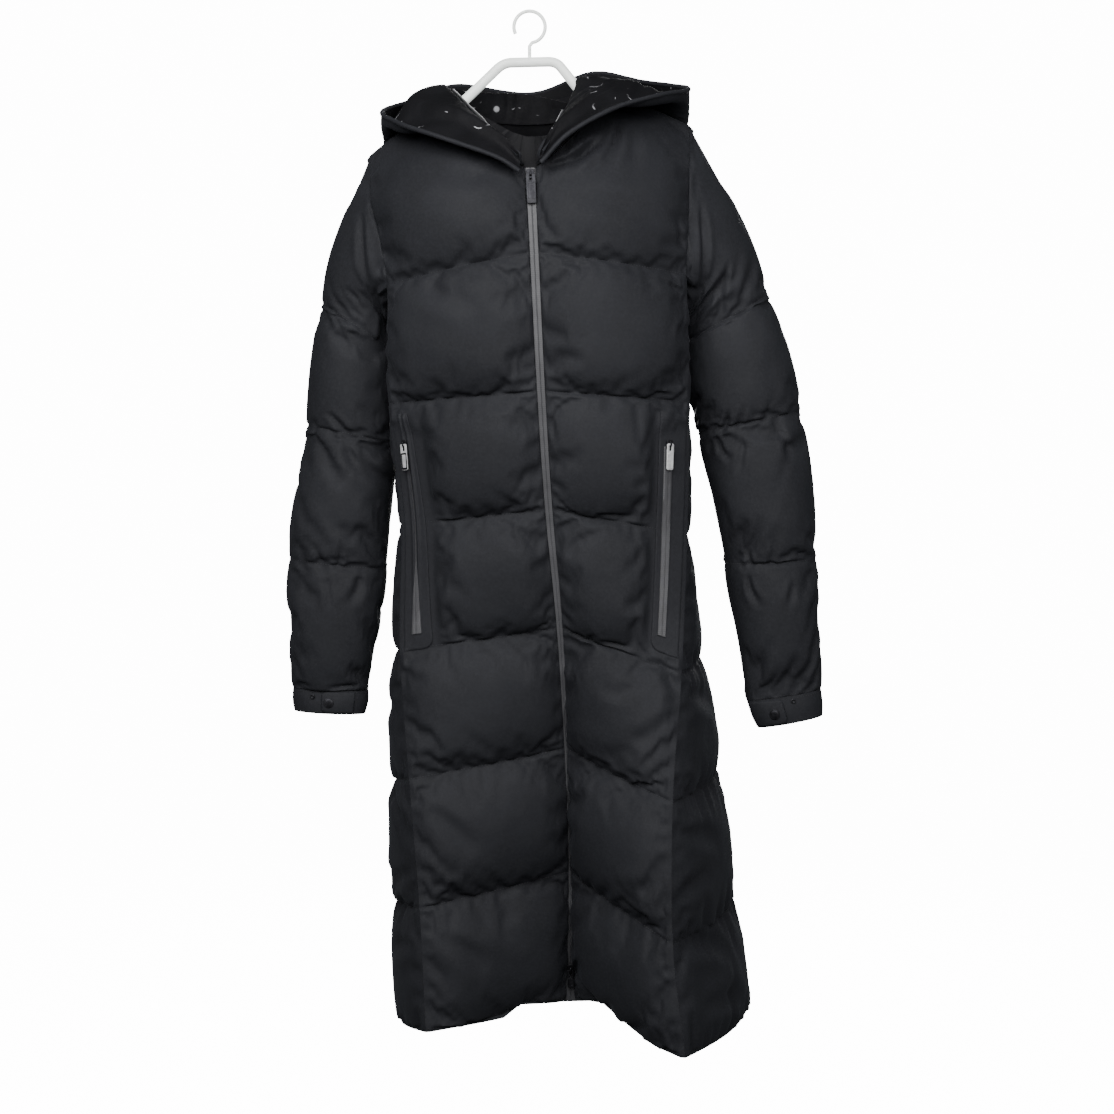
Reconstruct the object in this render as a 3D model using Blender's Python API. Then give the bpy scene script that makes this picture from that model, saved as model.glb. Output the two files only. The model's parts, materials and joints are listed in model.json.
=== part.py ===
"""Long hooded puffer coat on a plain hanger, as a set of closed solids.

Metres, +Z up. X runs to the viewer's right, the coat's front looks to -Y, and
"left" and "right" are the viewer's. The origin lies inside the top of the
hanger's hook, where a rail holds it.
"""

import math
from collections import namedtuple

import bmesh
import bpy
import numpy as np
from mathutils import Matrix, Vector

# Driving dimensions, in metres
SEAM_GAP = 0.0003        # clearance between two pieces that meet
WALL = 0.003             # flat shell, lining and wadding at a seam
REST_GAP = 0.0006        # clearance under a piece that lies on a curved panel
BODY_PUFF = 0.018        # rise of a filled body channel over its seams
YOKE_PUFF = 0.012        # rise of the wide top panels
SIDE_PUFF = 0.014
SLEEVE_PUFF = 0.015
HEM_PUFF = 0.005         # turned hem, thicker than a seam
SEAM_FADE = 0.045        # width over which a channel rises from an upright seam
HOOD_WALL = 0.004
HOOD_PUFF = 0.004
COLLAR_WALL = 0.002
COLLAR_GATHERS = 18
GATHER_DEPTH = 0.0012
EDGE_RADIUS = 0.0028     # binding round the hood's mouth
TAPE_WALL = 0.0014
HANGER_RADIUS = 0.006
HOOK_RADIUS = 0.0022
HOOK_BEND = 0.017        # inner radius of the hook

# Steps of a channel between two seams, closer together near the seams
CHANNEL_STEPS = (0.0, 0.08, 0.27, 0.5, 0.73, 0.92)
YOKE_STEPS = (0.0, 0.12, 0.3, 0.5, 0.7, 0.88, 1.0)
FRONT_COLUMNS = 8        # half of them meet the neck, half the shoulder
BACK_COLUMNS = 14
BACK_SHOULDER_COLUMNS = 4
SIDE_COLUMNS = 4

# The body's rings, from the hem up to the highest seam: where each quilted
# seam crosses the zip and the four corners, and half the zip's visible width
Ring = namedtuple("Ring", "name zip front_left back_left back_right front_right zip_half")
BODY_RINGS = (
    Ring("hem", (0.051, -0.045, -1.222), (-0.121, -0.150, -1.229),
         (-0.164, 0.075, -1.274), (0.282, 0.060, -1.259), (0.181, -0.215, -1.239), 0.0065),
    Ring("seam_6", (0.050, -0.060, -1.055), (-0.129, -0.135, -1.082),
         (-0.167, 0.080, -1.117), (0.261, 0.070, -1.121), (0.167, -0.195, -1.108), 0.0026),
    Ring("seam_5", (0.045, -0.080, -0.898), (-0.142, -0.115, -0.930),
         (-0.164, 0.085, -0.964), (0.238, 0.075, -0.951), (0.168, -0.165, -0.948), 0.0026),
    Ring("seam_4", (0.037, -0.100, -0.749), (-0.154, -0.088, -0.777),
         (-0.152, 0.085, -0.795), (0.212, 0.080, -0.797), (0.180, -0.125, -0.800), 0.0040),
    Ring("seam_3", (0.024, -0.115, -0.606), (-0.153, -0.072, -0.626),
         (-0.139, 0.085, -0.633), (0.178, 0.085, -0.645), (0.188, -0.090, -0.637), 0.0048),
    Ring("seam_2", (0.015, -0.125, -0.466), (-0.167, -0.066, -0.480),
         (-0.130, 0.080, -0.478), (0.151, 0.080, -0.476), (0.191, -0.075, -0.478), 0.0052),
    Ring("seam_1", (0.007, -0.122, -0.304), (-0.168, -0.066, -0.337),
         (-0.129, 0.070, -0.359), (0.144, 0.070, -0.352), (0.187, -0.068, -0.325), 0.0056),
)
# How far each ring bows out between its corners, same rows as BODY_RINGS
Bow = namedtuple("Bow", "front side back")
BODY_BOWS = (
    Bow(0.000, 0.012, 0.030), Bow(0.002, 0.012, 0.030), Bow(0.004, 0.012, 0.030),
    Bow(0.008, 0.008, 0.030), Bow(0.012, 0.003, 0.026), Bow(0.016, 0.000, 0.020),
    Bow(0.018, 0.000, 0.014),
)
# How much of SIDE_PUFF each side channel keeps: sleeves press the upper ones
SIDE_FILL = {"left": (0.50, 0.50, 0.55, 0.55, 0.3, 0.2), "right": (0.80, 0.80, 0.80, 0.70, 0.3, 0.2)}
# The zip draws the hem up beside it: share of the front's width, and the lift
HEM_LIFT = {
    "left": ((0.0, 0.0), (0.12, 0.003), (0.36, 0.012), (0.48, 0.0), (1.0, 0.0)),
    "right": ((0.0, 0.0), (0.12, 0.010), (0.30, 0.020), (0.77, 0.0), (1.0, 0.0)),
}
YOKE_BULGE = 0.020       # how far the chest and the shoulder blades round out

ZIP_TOP = (0.002, -0.105, -0.203)
ZIP_TOP_HALF = 0.0060
# Curves of the top edges, each from its lower or front end
NECK_FRONT = {
    "left": ((-0.040, -0.090, -0.180), (-0.080, -0.052, -0.142), (-0.106, 0.000, -0.109)),
    "right": ((0.037, -0.090, -0.178), (0.070, -0.054, -0.141), (0.106, 0.000, -0.104)),
}
NECK_BACK = ((-0.106, 0.000, -0.109), (-0.078, 0.044, -0.119), (-0.030, 0.063, -0.126),
             (0.030, 0.063, -0.125), (0.078, 0.044, -0.116), (0.106, 0.000, -0.104))
SHOULDER = {
    "left": ((-0.106, 0.000, -0.109), (-0.152, 0.006, -0.139), (-0.196, 0.012, -0.173)),
    "right": ((0.106, 0.000, -0.104), (0.153, 0.006, -0.119), (0.196, 0.012, -0.137)),
}
ARMHOLE_FRONT = {
    "left": ((-0.178, -0.057, -0.280), (-0.190, -0.040, -0.234), (-0.196, 0.012, -0.173)),
    "right": ((0.190, -0.058, -0.272), (0.192, -0.038, -0.205), (0.196, 0.012, -0.137)),
}
ARMHOLE_BACK = {
    "left": ((-0.152, 0.077, -0.295), (-0.182, 0.062, -0.228), (-0.196, 0.012, -0.173)),
    "right": ((0.163, 0.077, -0.285), (0.184, 0.060, -0.200), (0.196, 0.012, -0.137)),
}
UNDERARM = {"left": (-0.157, 0.008, -0.376), "right": (0.172, 0.008, -0.368)}

# The sleeves' seams below the armhole: the ring's outermost and innermost
# points, and half its depth from front to back
Cross = namedtuple("Cross", "name outer inner half_depth")
SLEEVE_RINGS = {
    "left": (
        Cross("cap", (-0.232, 0.012, -0.266), (-0.178, 0.012, -0.378), 0.050),
        Cross("seam_1", (-0.255, 0.012, -0.355), (-0.174, 0.016, -0.410), 0.046),
        Cross("seam_2", (-0.275, 0.014, -0.505), (-0.173, 0.016, -0.527), 0.042),
        Cross("seam_3", (-0.298, 0.004, -0.672), (-0.183, 0.006, -0.684), 0.038),
        Cross("cuff", (-0.294, -0.008, -0.833), (-0.206, -0.006, -0.836), 0.024),
        Cross("cuff_end", (-0.292, -0.010, -0.862), (-0.210, -0.010, -0.866), 0.023),
    ),
    "right": (
        Cross("cap", (0.252, 0.012, -0.240), (0.196, 0.010, -0.372), 0.050),
        Cross("seam_1", (0.294, 0.012, -0.345), (0.206, 0.014, -0.400), 0.046),
        Cross("seam_2", (0.334, 0.008, -0.489), (0.214, 0.010, -0.512), 0.042),
        Cross("seam_3", (0.354, -0.002, -0.672), (0.247, 0.000, -0.677), 0.038),
        Cross("cuff", (0.361, -0.012, -0.834), (0.274, -0.012, -0.848), 0.024),
        Cross("cuff_end", (0.363, -0.014, -0.868), (0.288, -0.016, -0.882), 0.022),
    ),
}
FRONT_ARC = 0.70 * math.pi     # share of a sleeve ring that joins the front yoke
# How full each sleeve channel is from the armhole down, outside and where it
# faces the body, which presses it flat
SLEEVE_FILL = (0.50, 0.75, 0.80, 0.85)
INNER_FILL = (0.12, 0.19, 0.30, 0.52)

# The hood lies back and open: each row is a cross-section from the neck edge,
# at a share of its length from the zip's left to its right, over the fold,
# down into the bag and up to the mouth's edge
Section = namedtuple("Section", "name neck fold bottom edge")
HOOD_SECTIONS = (
    Section("zip_left", 0.00, (-0.0080, -0.1150, -0.1960),
            (-0.0095, -0.1220, -0.1990), (-0.0100, -0.1290, -0.2070)),
    Section("chest_left", 0.09, (-0.0330, -0.0970, -0.1690),
            (-0.0370, -0.1160, -0.1760), (-0.0390, -0.1300, -0.1900)),
    Section("collar_left", 0.19, (-0.0680, -0.0600, -0.1290),
            (-0.0950, -0.0900, -0.1460), (-0.1080, -0.1120, -0.1640)),
    Section("shoulder_left", 0.25, (-0.0930, -0.0280, -0.1010),
            (-0.1440, -0.0640, -0.1500), (-0.1580, -0.0680, -0.1420)),
    Section("tip_left", 0.29, (-0.1060, 0.0080, -0.0850),
            (-0.1740, -0.0060, -0.1400), (-0.1770, -0.0100, -0.1210)),
    Section("blade_left", 0.36, (-0.0950, 0.0500, -0.0880),
            (-0.1650, 0.1120, -0.2050), (-0.1330, 0.1060, -0.0860)),
    Section("nape_left", 0.43, (-0.0550, 0.0760, -0.0950),
            (-0.0900, 0.1540, -0.2780), (-0.0950, 0.1440, -0.0640)),
    Section("nape", 0.50, (0.0000, 0.0850, -0.0980),
            (0.0020, 0.1640, -0.3020), (0.0010, 0.1700, -0.0700)),
    Section("nape_right", 0.57, (0.0550, 0.0760, -0.0900),
            (0.0950, 0.1540, -0.2700), (0.0790, 0.1330, -0.0500)),
    Section("blade_right", 0.645, (0.0900, 0.0520, -0.0760),
            (0.1750, 0.1100, -0.1850), (0.1430, 0.0960, -0.0680)),
    Section("tip_right", 0.71, (0.0600, -0.0140, -0.0800),
            (0.1860, -0.0020, -0.1120), (0.1930, -0.0080, -0.0940)),
    Section("shoulder_right", 0.75, (0.0535, -0.0320, -0.1000),
            (0.1400, -0.0620, -0.1180), (0.1560, -0.0640, -0.1100)),
    Section("collar_right", 0.81, (0.0430, -0.0590, -0.1290),
            (0.0860, -0.0920, -0.1280), (0.1020, -0.1040, -0.1300)),
    Section("chest_right", 0.91, (0.0280, -0.0940, -0.1600),
            (0.0380, -0.1140, -0.1620), (0.0460, -0.1270, -0.1640)),
    Section("zip_right", 1.00, (0.0125, -0.1150, -0.1930),
            (0.0130, -0.1220, -0.1940), (0.0135, -0.1300, -0.1980)),
)
HOOD_SEAT = 0.0060       # the hood's foot stands this far over the neck edge
HOOD_OUTSET = 0.0014     # and this far outside it
HOOD_FOOT = 0.35         # share of the wall that the foot has
HOOD_ARCH = 0.012        # rise of the layer that lies over the shoulders
HOOD_PANELS = {"hood_left": (0.0, 5.5), "hood_centre": (5.5, 8.5), "hood_right": (8.5, 14.0)}
HOOD_STEP = 0.5          # sections per column
HOOD_ROWS = 12

# The top of the stand collar inside the hood, by share of the neck edge: high
# at the front and back, pressed down where the hanger's arms pass
Stand = namedtuple("Stand", "neck top")
COLLAR_TOP = (
    Stand(0.00, (-0.003, -0.086, -0.163)), Stand(0.09, (-0.026, -0.075, -0.153)),
    Stand(0.19, (-0.064, -0.042, -0.126)), Stand(0.25, (-0.088, -0.016, -0.103)),
    Stand(0.29, (-0.096, 0.002, -0.091)), Stand(0.36, (-0.074, 0.032, -0.090)),
    Stand(0.50, (0.000, 0.057, -0.090)), Stand(0.645, (0.0805, 0.0365, -0.1095)),
    Stand(0.68, (0.0920, 0.0185, -0.1060)), Stand(0.71, (0.1010, 0.0025, -0.1030)),
    Stand(0.75, (0.0900, -0.0150, -0.1120)),
    Stand(0.81, (0.064, -0.039, -0.134)), Stand(0.91, (0.025, -0.074, -0.158)),
    Stand(1.00, (0.007, -0.086, -0.163)),
)
COLLAR_SEAT = 0.0010     # the collar's foot stands this far over the neck edge
COLLAR_INSET = 0.0012    # and this far inside it

# Pockets: places across a front (0 at the zip, 1 at the corner seam) of the
# zip and of the facing's inner edge
Pocket = namedtuple("Pocket", "zip facing_top facing_bottom")
POCKETS = {"left": Pocket(0.890, 0.845, 0.785), "right": Pocket(0.830, 0.765, 0.750)}
POCKET_TOP = -0.532
POCKET_BOTTOM = -0.757
FACING_TOP = -0.492
FACING_BOTTOM = -0.776
FACING_OUTER = 0.975
FACING_LIFT = 0.0011     # clears the front's puff between its points
FACING_WALL = 0.0012
POCKET_ZIP_WIDTH = 0.0115
CORNER_RADIUS = 0.012    # rounded lower corner of the facing

# Cuff tabs and their hardware: places round a cuff ring, as cosines from the
# inner side (-1) to the outer side (+1), and up it from its end (0) to its seam
Tab = namedtuple("Tab", "inner_end outer_end snap stud")
TABS = {"left": Tab(-0.69, 0.18, (-0.03, 0.50), (0.42, 0.72)),
        "right": Tab(-0.95, -0.12, (-0.42, 0.45), (0.16, 0.80))}
TAB_WALL = 0.0020
SNAP_RADIUS = 0.0062
STUD_RADIUS = 0.0030

# The hanger: its arms follow the shoulder seams from inside
HANGER_TOP = ((-0.081, 0.0, -0.1070), (-0.032, 0.0, -0.0605), (0.033, 0.0, -0.0590),
              (0.067, 0.0, -0.1010))
HANGER_DROP = (0.0155, 0.0120)     # from the shoulder seam to the arm, neck and tip
HANGER_REACH = 0.84      # share of the shoulder seam that an arm follows
HANGER_CORNER = 0.16     # share of a straight run that each bend takes

# Zip hardware: a slider's plate carries a bridge, and the pull's top bar
# hangs in the bridge
Hardware = namedtuple("Hardware", "plate_width plate_height pull_width pull_length")
MAIN_ZIP = Hardware(0.0090, 0.0105, 0.0110, 0.0360)
BOTTOM_ZIP = Hardware(0.0078, 0.0110, 0.0078, 0.0220)
POCKET_ZIP = Hardware(0.0070, 0.0080, 0.0088, 0.0310)
MAIN_SLIDER_HEIGHT = -0.2105
BOTTOM_SLIDER_HEIGHT = -1.1800
SLIDER_PLATE = 0.0020
BRIDGE_WIDTH = 0.0026
BRIDGE_HALF = 0.0030     # half its length along the zip
BRIDGE_RISE = 0.0034     # over the plate
BRIDGE_WALL = 0.0008
BAR = 0.0015             # the pull's thickness and its top bar's height
BAR_HEIGHT = 0.0013      # the bar's middle over the plate
BAR_DROP = 0.00105       # and under the bridge's middle
SLOT_WIDTH = 0.0036
SLOT_LENGTH = 0.0070
DISC_HEIGHT = 0.0014
ZIP_END_RADIUS = 0.0014
ZIP_END_LIFT = 0.0012
FRONT_WIDTH = 0.175      # typical width of a front, to place the pockets

SHELL_COLOUR = (0.020, 0.021, 0.024)
LINING_COLOUR = (0.012, 0.012, 0.014)
TAPE_COLOUR = (0.105, 0.105, 0.112)
METAL_COLOUR = (0.25, 0.25, 0.27)
HANGER_COLOUR = (0.85, 0.87, 0.85)


# Curves and grids

def smooth(points, place):
    """Points on a smooth curve through the given ones; place counts them from 0."""
    points = np.asarray(points, float)
    place = np.clip(np.asarray(place, float), 0, len(points) - 1)
    first = np.minimum(place.astype(int), len(points) - 2)
    f = (place - first).reshape(place.shape + (1,) * (points.ndim - 1))
    slope = np.gradient(points, axis=0)
    return ((2 * f**3 - 3 * f**2 + 1) * points[first] + (f**3 - 2 * f**2 + f) * slope[first]
            + (3 * f**2 - 2 * f**3) * points[first + 1] + (f**3 - f**2) * slope[first + 1])


def along(points, share):
    """Points on a smooth curve at shares of its length from 0 to 1."""
    return along_chain(smooth(points, np.linspace(0, len(points) - 1, 200)), share)


def along_chain(chain, share):
    """Points on a chain of straight pieces at shares of its length."""
    length = np.append(0, np.cumsum(np.linalg.norm(np.diff(chain, axis=0), axis=1)))
    share = np.asarray(share, float) * length[-1]
    return np.stack([np.interp(share, length, chain[:, k]) for k in range(3)], axis=-1)


def unit(vectors):
    size = np.linalg.norm(vectors, axis=-1, keepdims=True)
    return vectors / np.maximum(size, 1e-12)


def bowed(start, end, share, bow, turn):
    """Rows from start to end that bow out sideways; turn is +1 or -1."""
    span = end - start
    out = unit(np.stack([-span[:, 1], span[:, 0], np.zeros(len(span))], axis=-1)) * turn
    share = share[None, :, None]
    return (start[:, None] + span[:, None] * share
            + out[:, None] * bow[:, None, None] * np.sin(np.pi * share))


def patch(bottom, top, left, right):
    """A surface between four edge curves, which meet at its corners."""
    u = np.linspace(0, 1, len(bottom))[None, :, None]
    v = np.asarray(YOKE_STEPS)[:, None, None]
    corners = ((1 - u) * (1 - v) * bottom[0] + u * (1 - v) * bottom[-1]
               + (1 - u) * v * top[0] + u * v * top[-1])
    return ((1 - v) * bottom + v * top + (1 - u) * left[:, None] + u * right[:, None]
            - corners)


def channel_rise(steps):
    """Height of a filled channel, from 0 at its seams to 1 in its middle."""
    return 1 - np.abs(2 * np.asarray(steps) - 1) ** 2.5


def seam_rise(distance):
    """How a channel rises with the distance from an upright seam."""
    return 1 - (1 - np.clip(distance / SEAM_FADE, 0, 1)) ** 2


# Body panels. A panel's rows run up from the hem and its columns run round
# the body, so that neighbours share the points of a seam.

BODY_PLACES = np.append(np.concatenate([k + np.asarray(CHANNEL_STEPS) for k in range(6)]), 6.0)
YOKE_ROWS = len(YOKE_STEPS) - 1


def ring_points(column, places):
    return smooth([getattr(ring, column) for ring in BODY_RINGS], places)


def bow_at(column, places):
    return smooth([[getattr(bow, column)] for bow in BODY_BOWS], places)[:, 0]


def zip_edge(side):
    """The front's edge beside the zip, from the hem up to the neck."""
    sign = -1 if side == "left" else 1
    middle = [ring.zip for ring in BODY_RINGS] + [ZIP_TOP]
    half = [ring.zip_half for ring in BODY_RINGS] + [ZIP_TOP_HALF]
    edge = np.array(middle) + np.outer(half, (sign, 0, 0))
    places = np.append(BODY_PLACES[:-1], 6 + np.asarray(YOKE_STEPS))
    return smooth(edge, places)


def neck_front(side):
    start = zip_edge(side)[-1]
    return along([start, *NECK_FRONT[side]], np.linspace(0, 1, FRONT_COLUMNS // 2 + 1))


def shoulder_seam(side):
    return along(SHOULDER[side], np.linspace(0, 1, FRONT_COLUMNS // 2 + 1))


def armhole_edge(side, face):
    """The armhole from its foot up to the shoulder's tip."""
    table = ARMHOLE_FRONT if face == "front" else ARMHOLE_BACK
    start = ring_points(f"{face}_{side}", [6.0])[0]
    return along([start, *table[side]], YOKE_STEPS)


def underarm_edge(side):
    start = ring_points(f"front_{side}", [6.0])[0]
    end = ring_points(f"back_{side}", [6.0])[0]
    return along([start, UNDERARM[side], end], np.linspace(0, 1, SIDE_COLUMNS + 1))


def channel_rises(fills):
    """Rise of every row of some channels that follow each other."""
    rises = [channel_rise(CHANNEL_STEPS) * fill for fill in fills]
    return np.append(np.concatenate(rises), 0.0)


def front_panel(side):
    turn = 1 if side == "left" else -1
    share = np.linspace(0, 1, FRONT_COLUMNS + 1)
    edge = zip_edge(side)
    lower = bowed(edge[:len(BODY_PLACES)], ring_points(f"front_{side}", BODY_PLACES),
                  share, bow_at("front", BODY_PLACES), turn)
    fade = np.clip(1 - BODY_PLACES / 0.6, 0, 1)[:, None] ** 2
    lower[..., 2] += fade * np.interp(share, *zip(*HEM_LIFT[side]))
    top = np.concatenate([neck_front(side), shoulder_seam(side)[1:]])
    yoke = patch(lower[-1], top, edge[len(BODY_PLACES) - 1:], armhole_edge(side, "front"))
    steps = np.asarray(YOKE_STEPS)[:, None]
    yoke[..., 1] -= YOKE_BULGE * np.sin(np.pi * steps) * np.sin(np.pi * share)
    grid = np.concatenate([lower, yoke[1:]])
    width = np.linalg.norm(grid[:, -1] - grid[:, 0], axis=-1)[:, None]
    rise = np.append(channel_rises((1,) * 6) * BODY_PUFF,
                     channel_rise(YOKE_STEPS)[1:] * YOKE_PUFF)[:, None]
    rise = rise * seam_rise(share * width) * seam_rise((1 - share) * width)
    rise = rise * pocket_flatness(grid, share, side)
    rise[0] = HEM_PUFF * np.sin(np.pi * share)
    return grid, rise


def pocket_flatness(grid, share, side):
    """1 on the filled cloth, near 0 round the pocket, which is sewn flat."""
    height = grid[..., 2]
    beside = np.clip((share - POCKETS[side].facing_bottom + 0.12) / 0.10, 0, 1)
    above = np.clip((FACING_TOP + 0.015 - height) / 0.04, 0, 1)
    below = np.clip((height - FACING_BOTTOM + 0.020) / 0.025, 0, 1)
    return 1 - 0.95 * beside * above * below


def side_panel(side):
    turn = 1 if side == "left" else -1
    share = np.linspace(0, 1, SIDE_COLUMNS + 1)
    grid = bowed(ring_points(f"front_{side}", BODY_PLACES), ring_points(f"back_{side}", BODY_PLACES),
                 share, bow_at("side", BODY_PLACES), turn)
    edge = underarm_edge(side)
    lift = channel_blend()[:, None, None]
    grid = grid + (edge - grid[-1]) * lift
    width = np.linalg.norm(grid[:, -1] - grid[:, 0], axis=-1)[:, None]
    rise = channel_rises(SIDE_FILL[side])[:, None] * SIDE_PUFF
    rise = rise * seam_rise(share * width) * seam_rise((1 - share) * width)
    rise[0] = HEM_PUFF * np.sin(np.pi * share)
    return grid, rise


def channel_blend():
    """0 up to the second seam, then up to 1 at the underarm."""
    return np.clip(BODY_PLACES - 5, 0, 1) ** 2


def back_panel():
    share = np.linspace(0, 1, BACK_COLUMNS + 1)
    lower = bowed(ring_points("back_left", BODY_PLACES), ring_points("back_right", BODY_PLACES),
                  share, bow_at("back", BODY_PLACES), 1)
    neck = along(NECK_BACK, np.linspace(0, 1, BACK_COLUMNS - 2 * BACK_SHOULDER_COLUMNS + 1))
    top = np.concatenate([shoulder_seam("left")[::-1], neck[1:-1], shoulder_seam("right")])
    yoke = patch(lower[-1], top, armhole_edge("left", "back"), armhole_edge("right", "back"))
    steps = np.asarray(YOKE_STEPS)[:, None]
    yoke[..., 1] += 0.5 * YOKE_BULGE * np.sin(np.pi * steps) * np.sin(np.pi * share)
    grid = np.concatenate([lower, yoke[1:]])
    width = np.linalg.norm(grid[:, -1] - grid[:, 0], axis=-1)[:, None]
    rise = np.append(channel_rises((1,) * 6) * BODY_PUFF,
                     channel_rise(YOKE_STEPS)[1:] * 0.6 * YOKE_PUFF)[:, None]
    rise = rise * seam_rise(share * width) * seam_rise((1 - share) * width)
    rise[0] = HEM_PUFF * np.sin(np.pi * share)
    return grid, rise


def zip_panel():
    """The closed zip, a flat strip that fills the space between the fronts."""
    left, right = zip_edge("left"), zip_edge("right")
    grid = np.stack([left, right], axis=1)
    return grid, np.zeros(grid.shape[:2])


# Sleeves and cuffs. A ring starts at the top and runs over the front, the
# inner side and the back.

def ring_angles():
    front = FRONT_ARC * (1 - np.asarray(YOKE_STEPS)[::-1])
    inner = np.linspace(FRONT_ARC, 2 * math.pi - FRONT_ARC, SIDE_COLUMNS + 1)
    back = 2 * math.pi - FRONT_ARC * (1 - np.asarray(YOKE_STEPS))
    return np.concatenate([front, inner[1:], back[1:-1]])


def armhole_loop(side):
    front = armhole_edge(side, "front")[::-1]
    back = armhole_edge(side, "back")
    return np.concatenate([front, underarm_edge(side)[1:], back[1:-1]])


def sleeve_ring(cross, angles):
    outer, inner = np.array(cross.outer), np.array(cross.inner)
    middle, half = (outer + inner) / 2, (outer - inner) / 2
    depth = np.array((0, -cross.half_depth, 0))
    return middle + np.outer(np.cos(angles), half) + np.outer(np.sin(angles), depth)


def sleeve_tube(side):
    angles = ring_angles()
    crosses = SLEEVE_RINGS[side]
    loops = [armhole_loop(side)] + [sleeve_ring(cross, angles) for cross in crosses[:-1]]
    steps = np.asarray(CHANNEL_STEPS)
    places = np.concatenate([2 * steps, 2 + steps, 3 + steps, 4 + steps, [5.0]])
    grid = smooth(loops, places)
    facing = (1 + np.cos(angles)) / 2
    rise = (channel_rises(INNER_FILL)[:, None] * (1 - facing)
            + channel_rises(SLEEVE_FILL)[:, None] * facing)
    return grid, SLEEVE_PUFF * rise


def cuff_tube(side, rows=3):
    top, end = SLEEVE_RINGS[side][-2:]
    angles = ring_angles()
    share = np.linspace(0, 1, rows)[:, None, None]
    grid = (1 - share) * sleeve_ring(top, angles) + share * sleeve_ring(end, angles)
    return grid, np.zeros(grid.shape[:2])


# From grids to closed solids

Panel = namedtuple("Panel", "name grid rise closed inner_rows turn")


def corner_normals(grid, closed, turn):
    """Area-weighted normals that each face gives to its four corners."""
    wide = np.concatenate([grid, grid[:, :1]], axis=1) if closed else grid
    cross = np.cross(wide[1:, :-1] - wide[:-1, 1:], wide[1:, 1:] - wide[:-1, :-1]) * turn
    normals = np.zeros_like(wide)
    normals[:-1, :-1] += cross
    normals[1:, :-1] += cross
    normals[:-1, 1:] += cross
    normals[1:, 1:] += cross
    if closed:
        normals[:, 0] += normals[:, -1]
        normals = normals[:, :-1]
    return normals


def place_key(point):
    """The same key for two copies of a point; the shift keeps it off round numbers."""
    return tuple(np.round(point * 1e5 + 0.137).astype(int))


def shared_normals(panels):
    """Unit normals of each panel's points, the same for all that share a seam."""
    total, own = {}, {}
    for panel in panels:
        own[panel.name] = corner_normals(panel.grid, panel.closed, panel.turn)
        for point, normal in zip(panel.grid.reshape(-1, 3), own[panel.name].reshape(-1, 3)):
            key = place_key(point)
            total[key] = total.get(key, 0) + normal
    result = {}
    for panel in panels:
        keys = [place_key(point) for point in panel.grid.reshape(-1, 3)]
        result[panel.name] = unit(np.array([total[key] for key in keys])).reshape(panel.grid.shape)
    return result


def drawn_in(grid, closed, gap):
    """The grid with its free edges moved into the panel by gap."""
    moved = grid.copy()
    moved[0] += unit(grid[1] - grid[0]) * gap
    moved[-1] += unit(grid[-2] - grid[-1]) * gap
    if not closed:
        moved[:, 0] += unit(grid[:, 1] - grid[:, 0]) * gap
        moved[:, -1] += unit(grid[:, -2] - grid[:, -1]) * gap
    return moved


def shell_mesh(name, outer, inner, rows, closed):
    """A closed wall between an outer grid and an inner one.

    The inner wall keeps only the outer grid's rows that are named in rows.
    """
    mesh = bmesh.new()
    outside = [[mesh.verts.new(point) for point in row] for row in outer]
    inside = {k: [mesh.verts.new(point) for point in inner[k]] for k in rows}
    columns = outer.shape[1]
    spans = [(c, (c + 1) % columns) for c in range(columns if closed else columns - 1)]
    for a, b in zip(outside[:-1], outside[1:]):
        for c, d in spans:
            mesh.faces.new((a[c], a[d], b[d], b[c]))
    for low, high in zip(rows[:-1], rows[1:]):
        for c, d in spans:
            mesh.faces.new((inside[low][c], inside[high][c], inside[high][d], inside[low][d]))
    for row, wall in ((outside[0], inside[rows[0]]), (outside[-1], inside[rows[-1]])):
        for c, d in spans:
            mesh.faces.new((row[c], wall[c], wall[d], row[d]))
    for column in () if closed else (0, columns - 1):
        for low, high in zip(rows[:-1], rows[1:]):
            middle = (low + high) // 2
            foot, head = inside[low][column], inside[high][column]
            for k in range(low, high):
                near = foot if k < middle else head
                mesh.faces.new((outside[k][column], outside[k + 1][column], near))
            mesh.faces.new((foot, head, outside[middle][column]))
    return finished_mesh(mesh, name)


def finished_mesh(mesh, name):
    bmesh.ops.recalc_face_normals(mesh, faces=mesh.faces)
    if mesh.calc_volume(signed=True) < 0:
        bmesh.ops.reverse_faces(mesh, faces=mesh.faces)
    data = bpy.data.meshes.new(name)
    mesh.to_mesh(data)
    mesh.free()
    data.shade_smooth()
    return data


def wall_rows(channels, yoke_rows=0):
    """Rows that the plain inner wall keeps: each seam, each channel's middle
    and, where an armhole needs them, all of the yoke's."""
    half = len(CHANNEL_STEPS) // 2
    rows = [k * half for k in range(2 * channels + 1)]
    return rows + [rows[-1] + 1 + k for k in range(yoke_rows)]


def material(name, colour, roughness, metallic=0.0):
    made = bpy.data.materials.get(name)
    if made is None:
        made = bpy.data.materials.new(name)
        made.use_nodes = True
        shader = made.node_tree.nodes["Principled BSDF"]
        shader.inputs["Base Color"].default_value = (*colour, 1.0)
        shader.inputs["Roughness"].default_value = roughness
        shader.inputs["Metallic"].default_value = metallic
    return made


def shell_cloth():
    return material("matte_shell", SHELL_COLOUR, 0.75)


def lining_cloth():
    return material("dark_lining", LINING_COLOUR, 0.55)


def zip_tape():
    return material("grey_zip_tape", TAPE_COLOUR, 0.45)


def dark_metal():
    return material("dark_metal", METAL_COLOUR, 0.30, 1.0)


def hanger_plastic():
    return material("white_hanger", HANGER_COLOUR, 0.35)


def add_object(name, data, finish):
    made = bpy.data.objects.new(name, data)
    bpy.context.collection.objects.link(made)
    data.materials.append(finish)
    return made


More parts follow.
